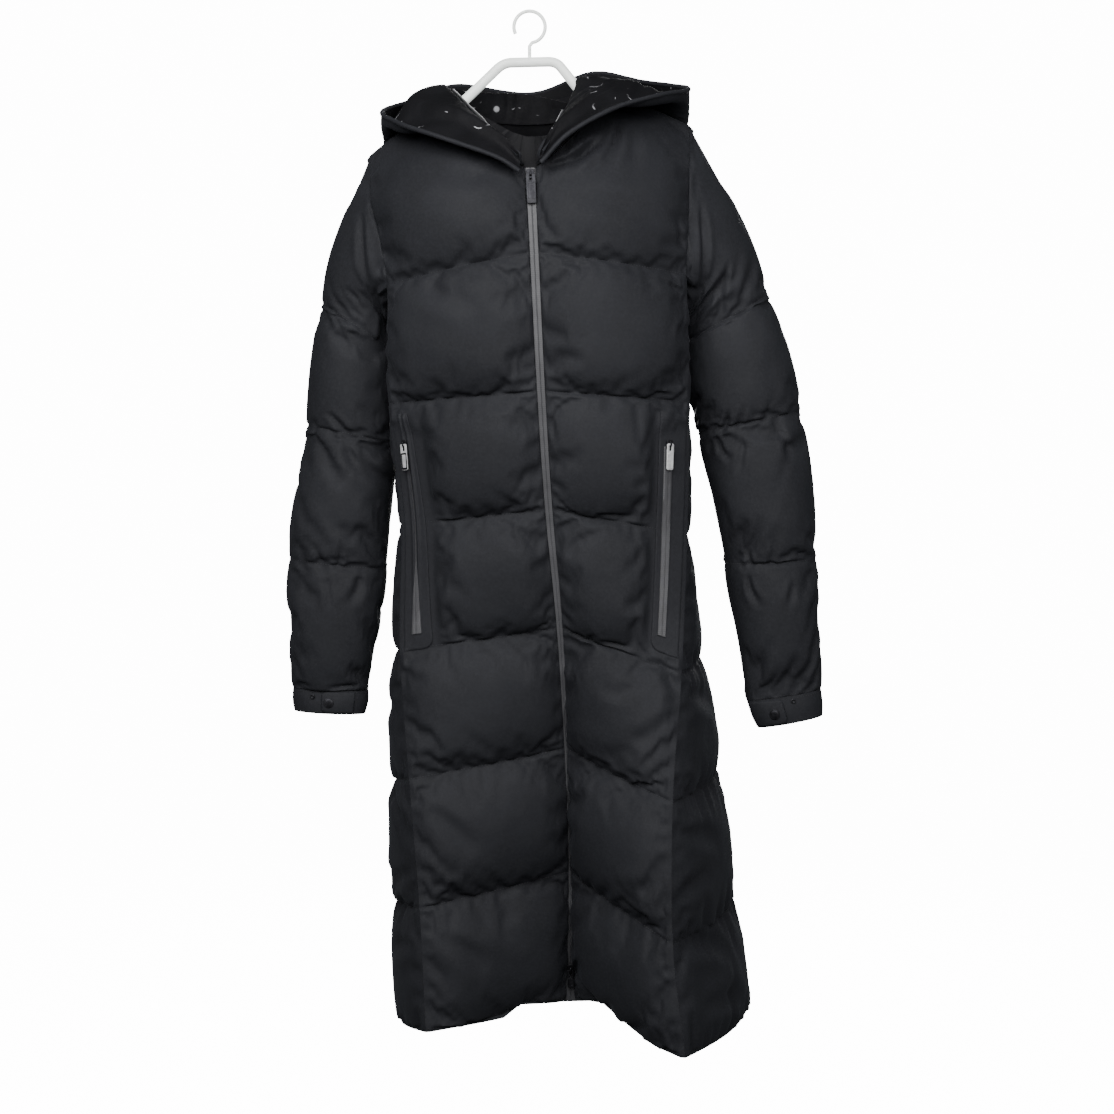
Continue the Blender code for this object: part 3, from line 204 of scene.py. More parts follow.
# The hood lies back and open: each row is a cross-section from the neck edge,
# at a share of its length from the zip's left to its right, over the fold,
# down into the bag and up to the mouth's edge
Section = namedtuple("Section", "neck fold bottom edge")
HOOD_SECTIONS = (
    Section(0.00, (-0.0080, -0.1150, -0.1960),   # zip_left
            (-0.0095, -0.1220, -0.1990), (-0.0100, -0.1290, -0.2070)),
    Section(0.09, (-0.0330, -0.0970, -0.1690),   # chest_left
            (-0.0370, -0.1160, -0.1760), (-0.0390, -0.1300, -0.1900)),
    Section(0.19, (-0.0680, -0.0600, -0.1290),   # collar_left
            (-0.0950, -0.0900, -0.1460), (-0.1080, -0.1120, -0.1640)),
    Section(0.25, (-0.0930, -0.0280, -0.1010),   # shoulder_left
            (-0.1440, -0.0640, -0.1500), (-0.1580, -0.0680, -0.1420)),
    Section(0.29, (-0.1060, 0.0080, -0.0850),   # tip_left
            (-0.1740, -0.0060, -0.1400), (-0.1770, -0.0100, -0.1210)),
    Section(0.36, (-0.0950, 0.0500, -0.0880),   # blade_left
            (-0.1650, 0.1120, -0.2050), (-0.1330, 0.1060, -0.0860)),
    Section(0.43, (-0.0550, 0.0760, -0.0950),   # nape_left
            (-0.0900, 0.1540, -0.2780), (-0.0950, 0.1440, -0.0640)),
    Section(0.50, (0.0000, 0.0850, -0.0980),   # nape
            (0.0020, 0.1640, -0.3020), (0.0010, 0.1700, -0.0700)),
    Section(0.57, (0.0550, 0.0760, -0.0900),   # nape_right
            (0.0950, 0.1540, -0.2700), (0.0790, 0.1330, -0.0500)),
    Section(0.645, (0.0900, 0.0520, -0.0760),   # blade_right
            (0.1750, 0.1100, -0.1850), (0.1430, 0.0960, -0.0680)),
    Section(0.71, (0.0600, -0.0140, -0.0800),   # tip_right
            (0.1860, -0.0020, -0.1120), (0.1930, -0.0080, -0.0940)),
    Section(0.75, (0.0535, -0.0320, -0.1000),   # shoulder_right
            (0.1400, -0.0620, -0.1180), (0.1560, -0.0640, -0.1100)),
    Section(0.81, (0.0430, -0.0590, -0.1290),   # collar_right
            (0.0860, -0.0920, -0.1280), (0.1020, -0.1040, -0.1300)),
    Section(0.91, (0.0280, -0.0940, -0.1600),   # chest_right
            (0.0380, -0.1140, -0.1620), (0.0460, -0.1270, -0.1640)),
    Section(1.00, (0.0125, -0.1150, -0.1930),   # zip_right
            (0.0130, -0.1220, -0.1940), (0.0135, -0.1300, -0.1980)),
)
HOOD_SEAT = 0.0060       # the hood's foot stands this far over the neck edge
HOOD_OUTSET = 0.0014     # and this far outside it
HOOD_FOOT = 0.35         # share of the wall that the foot has
HOOD_ARCH = 0.012        # rise of the layer that lies over the shoulders
HOOD_PANELS = {"hood_left": (0.0, 5.5), "hood_centre": (5.5, 8.5), "hood_right": (8.5, 14.0)}
HOOD_FRONT_FADE = 1.5    # sections over which the hood fills from the zip
HOOD_COLUMNS = 12        # to each section
HOOD_ROWS = 56

# The top of the stand collar inside the hood, by share of the neck edge: high
# at the front and back, pressed down where the hanger's arms pass
Stand = namedtuple("Stand", "neck top")
COLLAR_TOP = (
    Stand(0.00, (-0.003, -0.086, -0.163)), Stand(0.09, (-0.026, -0.075, -0.153)),
    Stand(0.19, (-0.064, -0.042, -0.126)), Stand(0.25, (-0.088, -0.016, -0.103)),
    Stand(0.29, (-0.096, 0.002, -0.091)), Stand(0.36, (-0.074, 0.032, -0.090)),
    Stand(0.50, (0.000, 0.057, -0.090)), Stand(0.645, (0.0805, 0.0365, -0.1095)),
    Stand(0.68, (0.0920, 0.0185, -0.1060)), Stand(0.71, (0.1010, 0.0025, -0.1030)),
    Stand(0.75, (0.0900, -0.0150, -0.1120)),
    Stand(0.81, (0.064, -0.039, -0.134)), Stand(0.91, (0.025, -0.074, -0.158)),
    Stand(1.00, (0.007, -0.086, -0.163)),
)
COLLAR_SEAT = 0.0010     # the collar's foot stands this far over the neck edge
COLLAR_INSET = 0.0012    # and this far inside it
COLLAR_BACK = 0.0        # behind this depth it has the hood's lining
COLLAR_COLUMNS, COLLAR_ROWS = 420, 26
NECK_LENGTH = 0.62       # along the neck seam, to size the collar's gathers

# Pockets: places across a front (0 at the zip, 1 at the corner seam) of the
# zip and of the facing's inner edge
Pocket = namedtuple("Pocket", "zip facing_top facing_bottom")
POCKETS = {"left": Pocket(0.890, 0.845, 0.785), "right": Pocket(0.830, 0.765, 0.750)}
POCKET_TOP = -0.532
POCKET_BOTTOM = -0.757
FACING_TOP = -0.492
FACING_BOTTOM = -0.776
FACING_OUTER = 0.975
FACING_WALL = 0.0012
FACING_CORNER = 0.06     # share of its height that has closer rows, for its corner
POCKET_ZIP_WIDTH = 0.0115
CORNER_RADIUS = 0.012    # rounded lower corner of the facing
FRONT_WIDTH = 0.175      # typical width of a front, to place the pockets
RIM_WIDTH = 0.0012       # over which facings and tabs thin towards their edges
# How much of each pocket zip's width shows between its facing's lips, by height
POCKET_SHOWN = {
    "left": ((-0.757, 1.0), (-0.735, 0.86), (-0.705, 0.58), (-0.685, 0.32), (-0.668, 0.12),
             (-0.640, 0.05), (-0.532, 0.05)),
    "right": ((-0.757, 1.0), (-0.532, 1.0)),
}
# Beside, above and below a facing, the front is flat for this room and fades in
# over the second number; beside it both are shares of the front's width
FLAT_ROOM = ((0.12, 0.10), (0.015, 0.04), (0.020, 0.025))
FLATNESS = 0.95
LIP_APART = 0.0032       # from the zip's middle to a lip's top
LIP_WIDTH = 0.0017
LIP_RISE = 0.0024
# Across a pocket's zip: places from -1 to 1 and shares of the tape's thickness
POCKET_ZIP_PROFILE = ((-1.0, 0.4), (-0.92, 1.0), (-0.55, 1.0), (-0.12, 1.0), (-0.06, 0.45),
                      (0.06, 0.45), (0.12, 1.0), (0.55, 1.0), (0.92, 1.0), (1.0, 0.4))

# Cuff tabs and their hardware: places round a cuff ring, as cosines from the
# inner side (-1) to the outer side (+1), and up it from its end (0) to its seam
Tab = namedtuple("Tab", "inner_end outer_end snap stud")
TABS = {"left": Tab(-0.69, 0.18, (-0.03, 0.50), (0.42, 0.72)),
        "right": Tab(-0.95, -0.12, (-0.42, 0.45), (0.16, 0.80))}
TAB_WALL = 0.0020
TAB_MARGIN = 0.04        # share of the cuff's height left free on both sides
TAB_ROUND_COLUMNS = 3.0  # columns of the cuff that the tab's round end takes
TAB_ROUND_INSET = 0.16   # and how far it draws in, as a share of the cuff's height
SNAP_RADIUS = 0.0062
STUD_RADIUS = 0.0030
DISC_HEIGHT = 0.0014
CAP_SIDES = 40
# Turned profiles, outside to middle: shares of the radius and of the height
CAP_PROFILES = {
    "snap": ((1.0, 0.0), (1.0, 0.32), (0.96, 0.52), (0.88, 0.62), (0.80, 0.58), (0.76, 0.66),
             (0.55, 0.88), (0.28, 0.98), (0.0, 1.0)),
    "stud": ((1.0, 0.0), (1.0, 0.5), (0.92, 0.85), (0.75, 1.0), (0.52, 0.9), (0.45, 0.5),
             (0.30, 0.35), (0.0, 0.35)),
}

# The hanger: its arms follow the shoulder seams from inside
HANGER_TOP = ((-0.081, 0.0, -0.1070), (-0.032, 0.0, -0.0605), (0.033, 0.0, -0.0590),
              (0.067, 0.0, -0.1010))
HANGER_DROP = (0.0155, 0.0120)     # from the shoulder seam to the arm, neck and tip
HANGER_START, HANGER_REACH = 0.04, 0.84   # shares of the seam that an arm follows
HANGER_CORNER = 0.16     # share of a straight run that each bend takes
HANGER_TIP = 0.7         # radius of an arm's end, against the rest
HOOK_TURN = (-80, 205)   # degrees round the hook
HOOK_STEM = 0.004        # from the hook's bend down to its straight part

# Zip hardware: a slider's plate carries a bridge, and the pull's top bar
# hangs in the bridge
Hardware = namedtuple("Hardware", "plate_width plate_height pull_width pull_length")
MAIN_ZIP = Hardware(0.0090, 0.0105, 0.0110, 0.0360)
BOTTOM_ZIP = Hardware(0.0078, 0.0110, 0.0078, 0.0220)
POCKET_ZIP = Hardware(0.0070, 0.0080, 0.0088, 0.0310)
SLIDER_PLATE = 0.0020
BRIDGE_HALF = 0.0030     # half its length along the zip
BRIDGE_RISE = 0.0034     # over the plate
BRIDGE_WALL = 0.0008
BAR = 0.0015             # the pull's thickness and its top bar's height
BAR_HEIGHT = 0.0013      # the bar's middle over the plate
BAR_DROP = 0.00105       # and under the bridge's middle
SLOT_WIDTH = 0.0036
SLOT_LENGTH = 0.0070
PULL_RIM_GAP = 0.0022    # between a pull's slot and its raised rim
METAL_SHARP = 35         # degrees at which a metal edge stays sharp
# A slider's body and its flange: shares of the plate's width, height and
# thickness, and of its depth to the flat's middle; corner and bevel in metres
SliderPlate = namedtuple("SliderPlate", "width low high corner taper thickness bevel depth")
SLIDER_PLATES = (SliderPlate(1.00, -0.50, 0.50, 0.0016, 0.78, 0.72, 0.0004, 0.62),
                 SliderPlate(0.94, -0.45, 0.48, 0.0012, 0.80, 0.30, 0.0002, 0.16))
# Each slider with its pull, the pull's look and which part of it is darker
SLIDERS = (("main_slider", "main_pull", MAIN_ZIP, "gunmetal", "end"),
           ("bottom_slider", "bottom_pull", BOTTOM_ZIP, "gunmetal", None),
           ("pocket_slider_left", "pocket_pull_left", POCKET_ZIP, "bright_metal", "rim"),
           ("pocket_slider_right", "pocket_pull_right", POCKET_ZIP, "bright_metal", None))

# The main zip: a groove down its middle and lower edges, by its half width, and
# the open ends over the hood, which run between two of its sections
ZIP_COLUMNS = 17
ZIP_GROOVE, ZIP_GROOVE_HALF = 0.0007, 0.08
ZIP_EDGE_DROP, ZIP_EDGE = 0.0008, 0.95
ZIP_END_RADIUS = 0.0014
ZIP_END_LIFT = 0.0012
ZIP_END_SECTIONS = {"left": (0.15, 3.05), "right": (13.85, 11.95)}
TOOTH_PITCH = 0.0016
TOOTH = (0.0010, 0.0016, 0.0007)   # along, across and out

# One fold: a soft trough with a raised lip on each side, between two places
Fold = namedtuple("Fold", "start end bend width depth")

# Listed creases, seen from the front or back (across, height) or, on a
# side panel, from the side (depth, height)
FOLDS = {
    "front_right": (
        Fold((0.022, -0.204), (0.094, -0.168), -0.004, 0.0065, 0.0115),
        Fold((0.104, -0.146), (0.087, -0.200), 0.004, 0.005, 0.0090),
        Fold((0.078, -0.170), (0.046, -0.206), 0.003, 0.005, 0.0080),
        Fold((0.120, -0.150), (0.118, -0.205), 0.003, 0.006, 0.0030),
        Fold((0.187, -0.300), (0.172, -0.258), 0.002, 0.004, 0.0045),
        Fold((0.186, -0.345), (0.150, -0.330), 0.003, 0.004, 0.0035),
        Fold((0.187, -0.360), (0.168, -0.395), 0.002, 0.004, 0.0035),
        Fold((0.050, -0.240), (0.160, -0.260), 0.006, 0.012, 0.0030),
        Fold((0.185, -1.020), (0.120, -1.050), 0.006, 0.010, 0.0040),
        Fold((0.180, -0.840), (0.120, -0.880), 0.004, 0.010, 0.0035),
        Fold((0.155, -0.790), (0.180, -0.835), 0.004, 0.008, 0.0045),
    ),
    "front_left": (
        Fold((-0.030, -0.215), (-0.130, -0.200), 0.006, 0.012, 0.0030),
        Fold((-0.140, -0.340), (-0.050, -0.370), 0.005, 0.010, 0.0025),
        Fold((-0.120, -0.960), (-0.070, -1.010), 0.004, 0.010, 0.0040),
        Fold((-0.110, -1.110), (-0.060, -1.150), 0.004, 0.010, 0.0040),
    ),
    "sleeve_right": (
        Fold((0.204, -0.380), (0.240, -0.325), 0.004, 0.005, 0.0075),
        Fold((0.238, -0.305), (0.235, -0.372), -0.004, 0.004, 0.0050),
        Fold((0.206, -0.240), (0.204, -0.330), 0.003, 0.004, 0.0050),
        Fold((0.246, -0.484), (0.238, -0.516), 0.002, 0.0030, 0.0042),
        Fold((0.262, -0.478), (0.252, -0.514), 0.002, 0.0030, 0.0036),
        Fold((0.292, -0.470), (0.284, -0.508), 0.002, 0.0030, 0.0034),
        Fold((0.232, -0.520), (0.252, -0.546), -0.004, 0.0030, 0.0045),
        Fold((0.262, -0.520), (0.258, -0.560), 0.002, 0.0035, 0.0030),
        Fold((0.300, -0.505), (0.322, -0.545), 0.002, 0.0035, 0.0035),
        Fold((0.264, -0.652), (0.276, -0.682), 0.002, 0.0030, 0.0042),
        Fold((0.300, -0.640), (0.294, -0.680), 0.002, 0.0035, 0.0034),
        Fold((0.272, -0.690), (0.286, -0.722), -0.003, 0.0035, 0.0042),
        Fold((0.322, -0.690), (0.316, -0.724), 0.002, 0.0035, 0.0030),
    ),
    "sleeve_left": (
        Fold((-0.184, -0.338), (-0.187, -0.422), 0.003, 0.004, 0.0060),
        Fold((-0.200, -0.250), (-0.192, -0.330), -0.003, 0.004, 0.0050),
        Fold((-0.246, -0.488), (-0.218, -0.532), 0.003, 0.004, 0.0048),
        Fold((-0.230, -0.520), (-0.196, -0.572), -0.006, 0.0060, 0.0052),
        Fold((-0.212, -0.536), (-0.178, -0.578), -0.004, 0.0060, 0.0050),
        Fold((-0.206, -0.528), (-0.176, -0.542), 0.002, 0.0050, 0.0040),
        Fold((-0.262, -0.500), (-0.266, -0.530), 0.001, 0.0030, 0.0030),
        Fold((-0.262, -0.652), (-0.256, -0.684), 0.002, 0.0030, 0.0038),
        Fold((-0.232, -0.646), (-0.240, -0.684), 0.002, 0.0030, 0.0038),
        Fold((-0.212, -0.690), (-0.226, -0.722), 0.003, 0.0055, 0.0034),
        Fold((-0.252, -0.690), (-0.248, -0.726), 0.002, 0.0035, 0.0034),
    ),
    "side_right": (
        Fold((-0.190, -1.060), (-0.100, -1.040), 0.006, 0.010, 0.0055),
        Fold((-0.180, -1.120), (-0.060, -1.150), 0.008, 0.011, 0.0060),
        Fold((-0.160, -0.990), (-0.060, -1.010), 0.006, 0.010, 0.0050),
        Fold((-0.170, -1.190), (-0.020, -1.220), 0.006, 0.012, 0.0050),
        Fold((-0.130, -0.830), (0.000, -0.850), 0.006, 0.012, 0.0045),
    ),
    "side_left": (
        Fold((-0.130, -1.130), (-0.020, -1.160), 0.006, 0.010, 0.0055),
        Fold((-0.120, -1.040), (0.020, -1.070), -0.006, 0.011, 0.0055),
        Fold((-0.110, -0.985), (0.000, -0.950), 0.005, 0.010, 0.0050),
        Fold((-0.100, -0.860), (0.020, -0.850), 0.006, 0.012, 0.0045),
    ),
    "back": (
        Fold((-0.100, -0.200), (-0.020, -0.260), 0.008, 0.014, 0.0040),
        Fold((0.110, -0.190), (0.030, -0.255), -0.008, 0.014, 0.0040),
        Fold((-0.100, -0.420), (0.060, -0.440), 0.010, 0.014, 0.0030),
        Fold((0.020, -0.560), (0.150, -0.590), 0.008, 0.013, 0.0035),
        Fold((-0.110, -0.720), (0.010, -0.700), 0.008, 0.013, 0.0035),
        Fold((0.060, -0.880), (0.210, -0.900), 0.010, 0.014, 0.0040),
        Fold((-0.120, -1.030), (0.040, -1.060), 0.010, 0.014, 0.0040),
        Fold((0.080, -1.170), (0.250, -1.200), 0.008, 0.014, 0.0040),
    ),
}

# Studio lights: place, what they look at, width and power
LIGHTS = (
    ("key", (-0.7, -1.8, 0.65), (0.0, 0.0, -0.30), 1.9, 61.0),
    ("front", (0.8, -1.9, 0.35), (0.05, 0.0, -0.40), 1.7, 34.0),
    ("back_fill", (0.2, 1.9, 0.0), (0.0, 0.0, -0.7), 1.6, 42.0),
)
SURROUND_COLOUR = (0.93, 0.95, 1.0, 1.0)
LENS, SENSOR_WIDTH = 62.05, 36.0       # millimetres
CAMERA_PLACE = (0.03375, -2.4, -0.5117)
CAMERA_TILT = 3.784                    # degrees down
# The backdrop: depths of its front edge and of the start of its bend, the bend's
# radius, its top and half its width
BACKDROP_NEAR, BACKDROP_FAR, BACKDROP_BEND = 0.4, 3.2, 0.8
BACKDROP_TOP, BACKDROP_HALF = 1.6, 2.3


# How finely the cloth is divided

def spaced(count, crowd):
    """Steps from 0 to 1, closer together at both ends."""
    t = np.linspace(0, 1, count + 1)
    return t - crowd * np.sin(2 * np.pi * t) / (2 * np.pi)


EASING_PASSES = 160
CHANNEL = spaced(40, 0.45)
YOKE = spaced(40, 0.3)
FRONT = spaced(64, 0.35)
SIDE = spaced(48, 0.3)
NECK = spaced(64, 0.0)
SHOULDER_SHARES = 2 * FRONT[len(FRONT) // 2:] - 1
BODY_CHANNELS = len(BODY_RINGS) - 1
PLACES = np.append(np.concatenate([k + CHANNEL[:-1] for k in range(BODY_CHANNELS)]), BODY_CHANNELS)
SEAM_ROWS = [k * (len(CHANNEL) - 1) for k in range(BODY_CHANNELS + 1)]
SLEEVE_SEAM_ROWS = SEAM_ROWS[:len(SLEEVE_FILL) + 1]
SHOULDER_SHARE = 4 / 14  # of the back's width, on each side
BACK = np.concatenate([
    (1 - SHOULDER_SHARES)[::-1] * SHOULDER_SHARE,
    SHOULDER_SHARE + NECK[1:-1] * (1 - 2 * SHOULDER_SHARE),
    1 - (1 - SHOULDER_SHARES) * SHOULDER_SHARE,
])


# Curves and grids

def smooth(points, place):
    """Points on a smooth curve through the given ones; place counts them from 0."""
    points = np.asarray(points, float)
    place = np.clip(np.asarray(place, float), 0, len(points) - 1)
    first = np.minimum(place.astype(int), len(points) - 2)
    f = (place - first).reshape(place.shape + (1,) * (points.ndim - 1))
    slope = np.gradient(points, axis=0)
    return ((2 * f**3 - 3 * f**2 + 1) * points[first] + (f**3 - 2 * f**2 + f) * slope[first]
            + (3 * f**2 - 2 * f**3) * points[first + 1] + (f**3 - f**2) * slope[first + 1])


def along(points, share):
    """Points on a smooth curve at shares of its length from 0 to 1."""
    return along_chain(smooth(points, np.linspace(0, len(points) - 1, 200)), share)


def along_chain(chain, share):
    """Points on a chain of straight pieces at shares of its length."""
    run = run_of(chain)
    return at_run(chain, run, np.asarray(share, float) * run[-1])


def run_of(chain):
    """How far along a chain of straight pieces each of its points lies."""
    return np.append(0, np.cumsum(np.linalg.norm(np.diff(chain, axis=0), axis=1)))


def at_run(values, run, places):
    """Values known along a chain, at places on it in metres."""
    return np.stack([np.interp(places, run, column) for column in values.T], axis=-1)


def unit(vectors):
    """Vectors of length 1."""
    size = np.linalg.norm(vectors, axis=-1, keepdims=True)
    return vectors / np.maximum(size, 1e-12)


def lattice(seed, shape):
    """Random numbers from -1 to 1, the same for each seed."""
    return np.random.default_rng(seed).uniform(-1, 1, shape)


def ripple(x, seed):
    """Smooth noise from -1 to 1 along a line, about one swell for each unit."""
    values = lattice(seed, 997)
    i = np.floor(x).astype(int)
    f = x - i
    f = f * f * (3 - 2 * f)
    return values[i % 997] * (1 - f) + values[(i + 1) % 997] * f


def mottle(x, y, seed):
    """Smooth noise from -1 to 1 over a plane, about one swell for each unit."""
    values = lattice(seed, (97, 97))
    i, j = np.floor(x).astype(int), np.floor(y).astype(int)
    f, g = x - i, y - j
    f, g = f * f * (3 - 2 * f), g * g * (3 - 2 * g)
    low = values[i % 97, j % 97] * (1 - f) + values[(i + 1) % 97, j % 97] * f
    high = values[i % 97, (j + 1) % 97] * (1 - f) + values[(i + 1) % 97, (j + 1) % 97] * f
    return low * (1 - g) + high * g


def bowed(start, end, share, bow, turn):
    """Rows from start to end that bow out sideways; turn is +1 or -1."""
    span = end - start
    out = unit(np.stack([-span[:, 1], span[:, 0], np.zeros(len(span))], axis=-1)) * turn
    share = share[None, :, None]
    return (start[:, None] + span[:, None] * share
            + out[:, None] * bow[:, None, None] * np.sin(np.pi * share))


def eased(line):
    """A line with its inner corners rounded off and its ends kept."""
    line = line.copy()
    for _ in range(EASING_PASSES):
        line[1:-1] += 0.5 * ((line[:-2] + line[2:]) / 2 - line[1:-1])
    return line


def patch(bottom, top, left, right, share):
    """A surface between four edge curves, which meet at its corners."""
    u = share[None, :, None]
    v = YOKE[:, None, None]
    near_top = np.clip((v - 0.7) / 0.3, 0, 1) ** 2      # below, the neck's corners fade
    top = near_top * top + (1 - near_top) * eased(top)
    corners = ((1 - u) * (1 - v) * bottom[0] + u * (1 - v) * bottom[-1]
               + (1 - u) * v * left[-1] + u * v * right[-1])
    return ((1 - v) * bottom + v * top + (1 - u) * left[:, None] + u * right[:, None]
            - corners)


def channel_rise(steps):
    """Height of a filled channel, from 0 at its seams to 1 in its middle."""
    return 1 - np.abs(2 * np.asarray(steps) - 1) ** CHANNEL_FULLNESS


def seam_rise(distance):
    """How a channel rises with the distance from an upright seam."""
    return 1 - (1 - np.clip(distance / SEAM_FADE, 0, 1)) ** 2


# Base grids of the panels. Rows run up from the hem and columns run round the
# body, and neighbours share the points of their seam.

def ring_points(column, places):
    """One corner line of the body at places counted in rings from the hem."""
    return smooth([getattr(ring, column) for ring in BODY_RINGS], places)


def bow_at(column, places):
    return smooth([[getattr(bow, column)] for bow in BODY_BOWS], places)[:, 0]


def zip_edge(side):
    """The front's edge beside the zip, from the hem up to the neck."""
    middle = [ring.zip for ring in BODY_RINGS] + [ZIP_TOP]
    half = [ring.zip_half for ring in BODY_RINGS] + [ZIP_TOP_HALF]
    edge = np.array(middle) + np.outer(half, (-TURNS[side], 0, 0))
    return smooth(edge, np.append(PLACES[:-1], BODY_CHANNELS + YOKE))


def neck_front(side, shares):
    return along([zip_edge(side)[-1], *NECK_FRONT[side]], shares)


def armhole_edge(side, face):
    """The armhole from its foot up to the shoulder's tip."""
    table = ARMHOLE_FRONT if face == "front" else ARMHOLE_BACK
    return along([getattr(BODY_RINGS[-1], f"{face}_{side}"), *table[side]], YOKE)


def underarm_edge(side):
    ends = [getattr(BODY_RINGS[-1], f"{face}_{side}") for face in ("front", "back")]
    return along([ends[0], UNDERARM[side], ends[1]], SIDE)


def channel_rises(fills):
    """Rise of every row of the body's channels, hem to the highest seam."""
    return np.append(np.concatenate([channel_rise(CHANNEL[:-1]) * fill for fill in fills]), 0.0)


def edge_rise(grid, share):
    """How full each point is for its distance from the panel's upright seams."""
    width = np.linalg.norm(grid[:, -1] - grid[:, 0], axis=-1)[:, None]
    return seam_rise(share * width) * seam_rise((1 - share) * width)


def body_rise(grid, share, top):
    """Rise of a front or of the back: its channels, and the yoke to the given top."""
    rise = np.append(channel_rises([1] * BODY_CHANNELS) * BODY_PUFF, channel_rise(YOKE)[1:] * top)
    return rise[:, None] * edge_rise(grid, share)


def hemmed(rise, share):
    """The rise with the turned hem in its lowest row."""
    rise[0] = HEM_PUFF * np.sin(np.pi * share)
    return rise


def front_panel(side):
    edge = zip_edge(side)
    lower = bowed(edge[:len(PLACES)], ring_points(f"front_{side}", PLACES), FRONT,
                  bow_at("front", PLACES), TURNS[side])
    fade = np.clip(1 - PLACES / HEM_LIFT_CHANNELS, 0, 1)[:, None] ** 2
    lower[..., 2] += fade * np.interp(FRONT, *zip(*HEM_LIFT[side]))
    half = len(FRONT) // 2
    top = np.concatenate([neck_front(side, 2 * FRONT[:half + 1]),
                          along(SHOULDER[side], SHOULDER_SHARES)[1:]])
    yoke = patch(lower[-1], top, edge[len(PLACES) - 1:], armhole_edge(side, "front"), FRONT)
    yoke[..., 1] -= YOKE_BULGE * np.sin(np.pi * YOKE)[:, None] * np.sin(np.pi * FRONT)
    grid = np.concatenate([lower, yoke[1:]])
    rise = body_rise(grid, FRONT, YOKE_PUFF) * pocket_flatness(grid, FRONT, side)
    return grid, hemmed(rise, FRONT)


def pocket_flatness(grid, share, side):
    """1 on the filled cloth, near 0 round the pocket, which is sewn flat."""
    height, flat = grid[..., 2], FLATNESS
    for inside, (room, fade) in zip((share - POCKETS[side].facing_bottom, FACING_TOP - height,
                                     height - FACING_BOTTOM), FLAT_ROOM):
        flat = flat * np.clip((inside + room) / fade, 0, 1)
    return 1 - flat


def side_panel(side):
    grid = bowed(ring_points(f"front_{side}", PLACES), ring_points(f"back_{side}", PLACES), SIDE,
                 bow_at("side", PLACES), TURNS[side])
    top_channel = np.clip(PLACES - BODY_CHANNELS + 1, 0, 1)[:, None, None]
    grid = grid + (underarm_edge(side) - grid[-1]) * top_channel ** 2
    rise = channel_rises(SIDE_FILL[side])[:, None] * SIDE_PUFF * edge_rise(grid, SIDE)
    return grid, hemmed(rise, SIDE)


def back_panel():
    lower = bowed(ring_points("back_left", PLACES), ring_points("back_right", PLACES), BACK,
                  bow_at("back", PLACES), 1)
    neck = along(NECK_BACK, NECK)
    top = np.concatenate([along(SHOULDER["left"], SHOULDER_SHARES)[::-1], neck[1:-1],
                          along(SHOULDER["right"], SHOULDER_SHARES)])
    yoke = patch(lower[-1], top, armhole_edge("left", "back"), armhole_edge("right", "back"), BACK)
    yoke[..., 1] += 0.5 * YOKE_BULGE * np.sin(np.pi * YOKE)[:, None] * np.sin(np.pi * BACK)
    grid = np.concatenate([lower, yoke[1:]])
    return grid, hemmed(body_rise(grid, BACK, 0.6 * YOKE_PUFF), BACK)


def ring_angles():
    """Angles of a sleeve's columns, from the outer side over the front."""
    front = FRONT_ARC * (1 - YOKE[::-1])
    inner = FRONT_ARC + (2 * math.pi - 2 * FRONT_ARC) * SIDE
    back = 2 * math.pi - FRONT_ARC * (1 - YOKE)
    return np.concatenate([front, inner[1:], back[1:-1]])


def armhole_loop(side):
    front = armhole_edge(side, "front")[::-1]
    back = armhole_edge(side, "back")
    return np.concatenate([front, underarm_edge(side)[1:], back[1:-1]])


def sleeve_ring(cross, angles):
    outer, inner = np.array(cross.outer), np.array(cross.inner)
    middle, half = (outer + inner) / 2, (outer - inner) / 2
    depth = np.array((0, -cross.half_depth, 0))
    return middle + np.outer(np.cos(angles), half) + np.outer(np.sin(angles), depth)


def sleeve_tube(side):
    angles = ring_angles()
    loops = [armhole_loop(side)]
    loops += [sleeve_ring(cross, angles) for cross in SLEEVE_RINGS[side][:-1]]
    steps = CHANNEL[:-1]       # the first channel crosses the cap's ring on its way
    grid = smooth(loops, np.concatenate([2 * steps, 2 + steps, 3 + steps, 4 + steps, [5.0]]))
    facing = (1 + np.cos(angles)) / 2
    rise = (channel_rises(INNER_FILL[side])[:, None] * (1 - facing)
            + channel_rises(SLEEVE_FILL)[:, None] * facing)
    return grid, SLEEVE_PUFF * rise


def cuff_tube(side):
    top, end = SLEEVE_RINGS[side][-2:]
    angles = ring_angles()
    share = np.linspace(0, 1, 15)[:, None, None]
    grid = (1 - share) * sleeve_ring(top, angles) + share * sleeve_ring(end, angles)
    return grid, np.zeros(grid.shape[:2])


def zip_panel():
    """The closed zip, which fills the space between the fronts."""
    left, right = zip_edge("left"), zip_edge("right")
    share = np.linspace(0, 1, ZIP_COLUMNS)[None, :, None]
    grid = left[:, None] * (1 - share) + right[:, None] * share
    return grid, np.zeros(grid.shape[:2])


# Normals that meet at the seams

Panel = namedtuple("Panel", "name grid rise closed turn")


def corner_normals(grid, closed, turn):
    """Area-weighted normals that each face gives to its four corners."""
    wide = np.concatenate([grid, grid[:, :1]], axis=1) if closed else grid
    cross = np.cross(wide[1:, :-1] - wide[:-1, 1:], wide[1:, 1:] - wide[:-1, :-1]) * turn
    normals = np.zeros_like(wide)
    normals[:-1, :-1] += cross
    normals[1:, :-1] += cross
    normals[:-1, 1:] += cross
    normals[1:, 1:] += cross
    if closed:
        normals[:, 0] += normals[:, -1]
        normals = normals[:, :-1]
    return normals


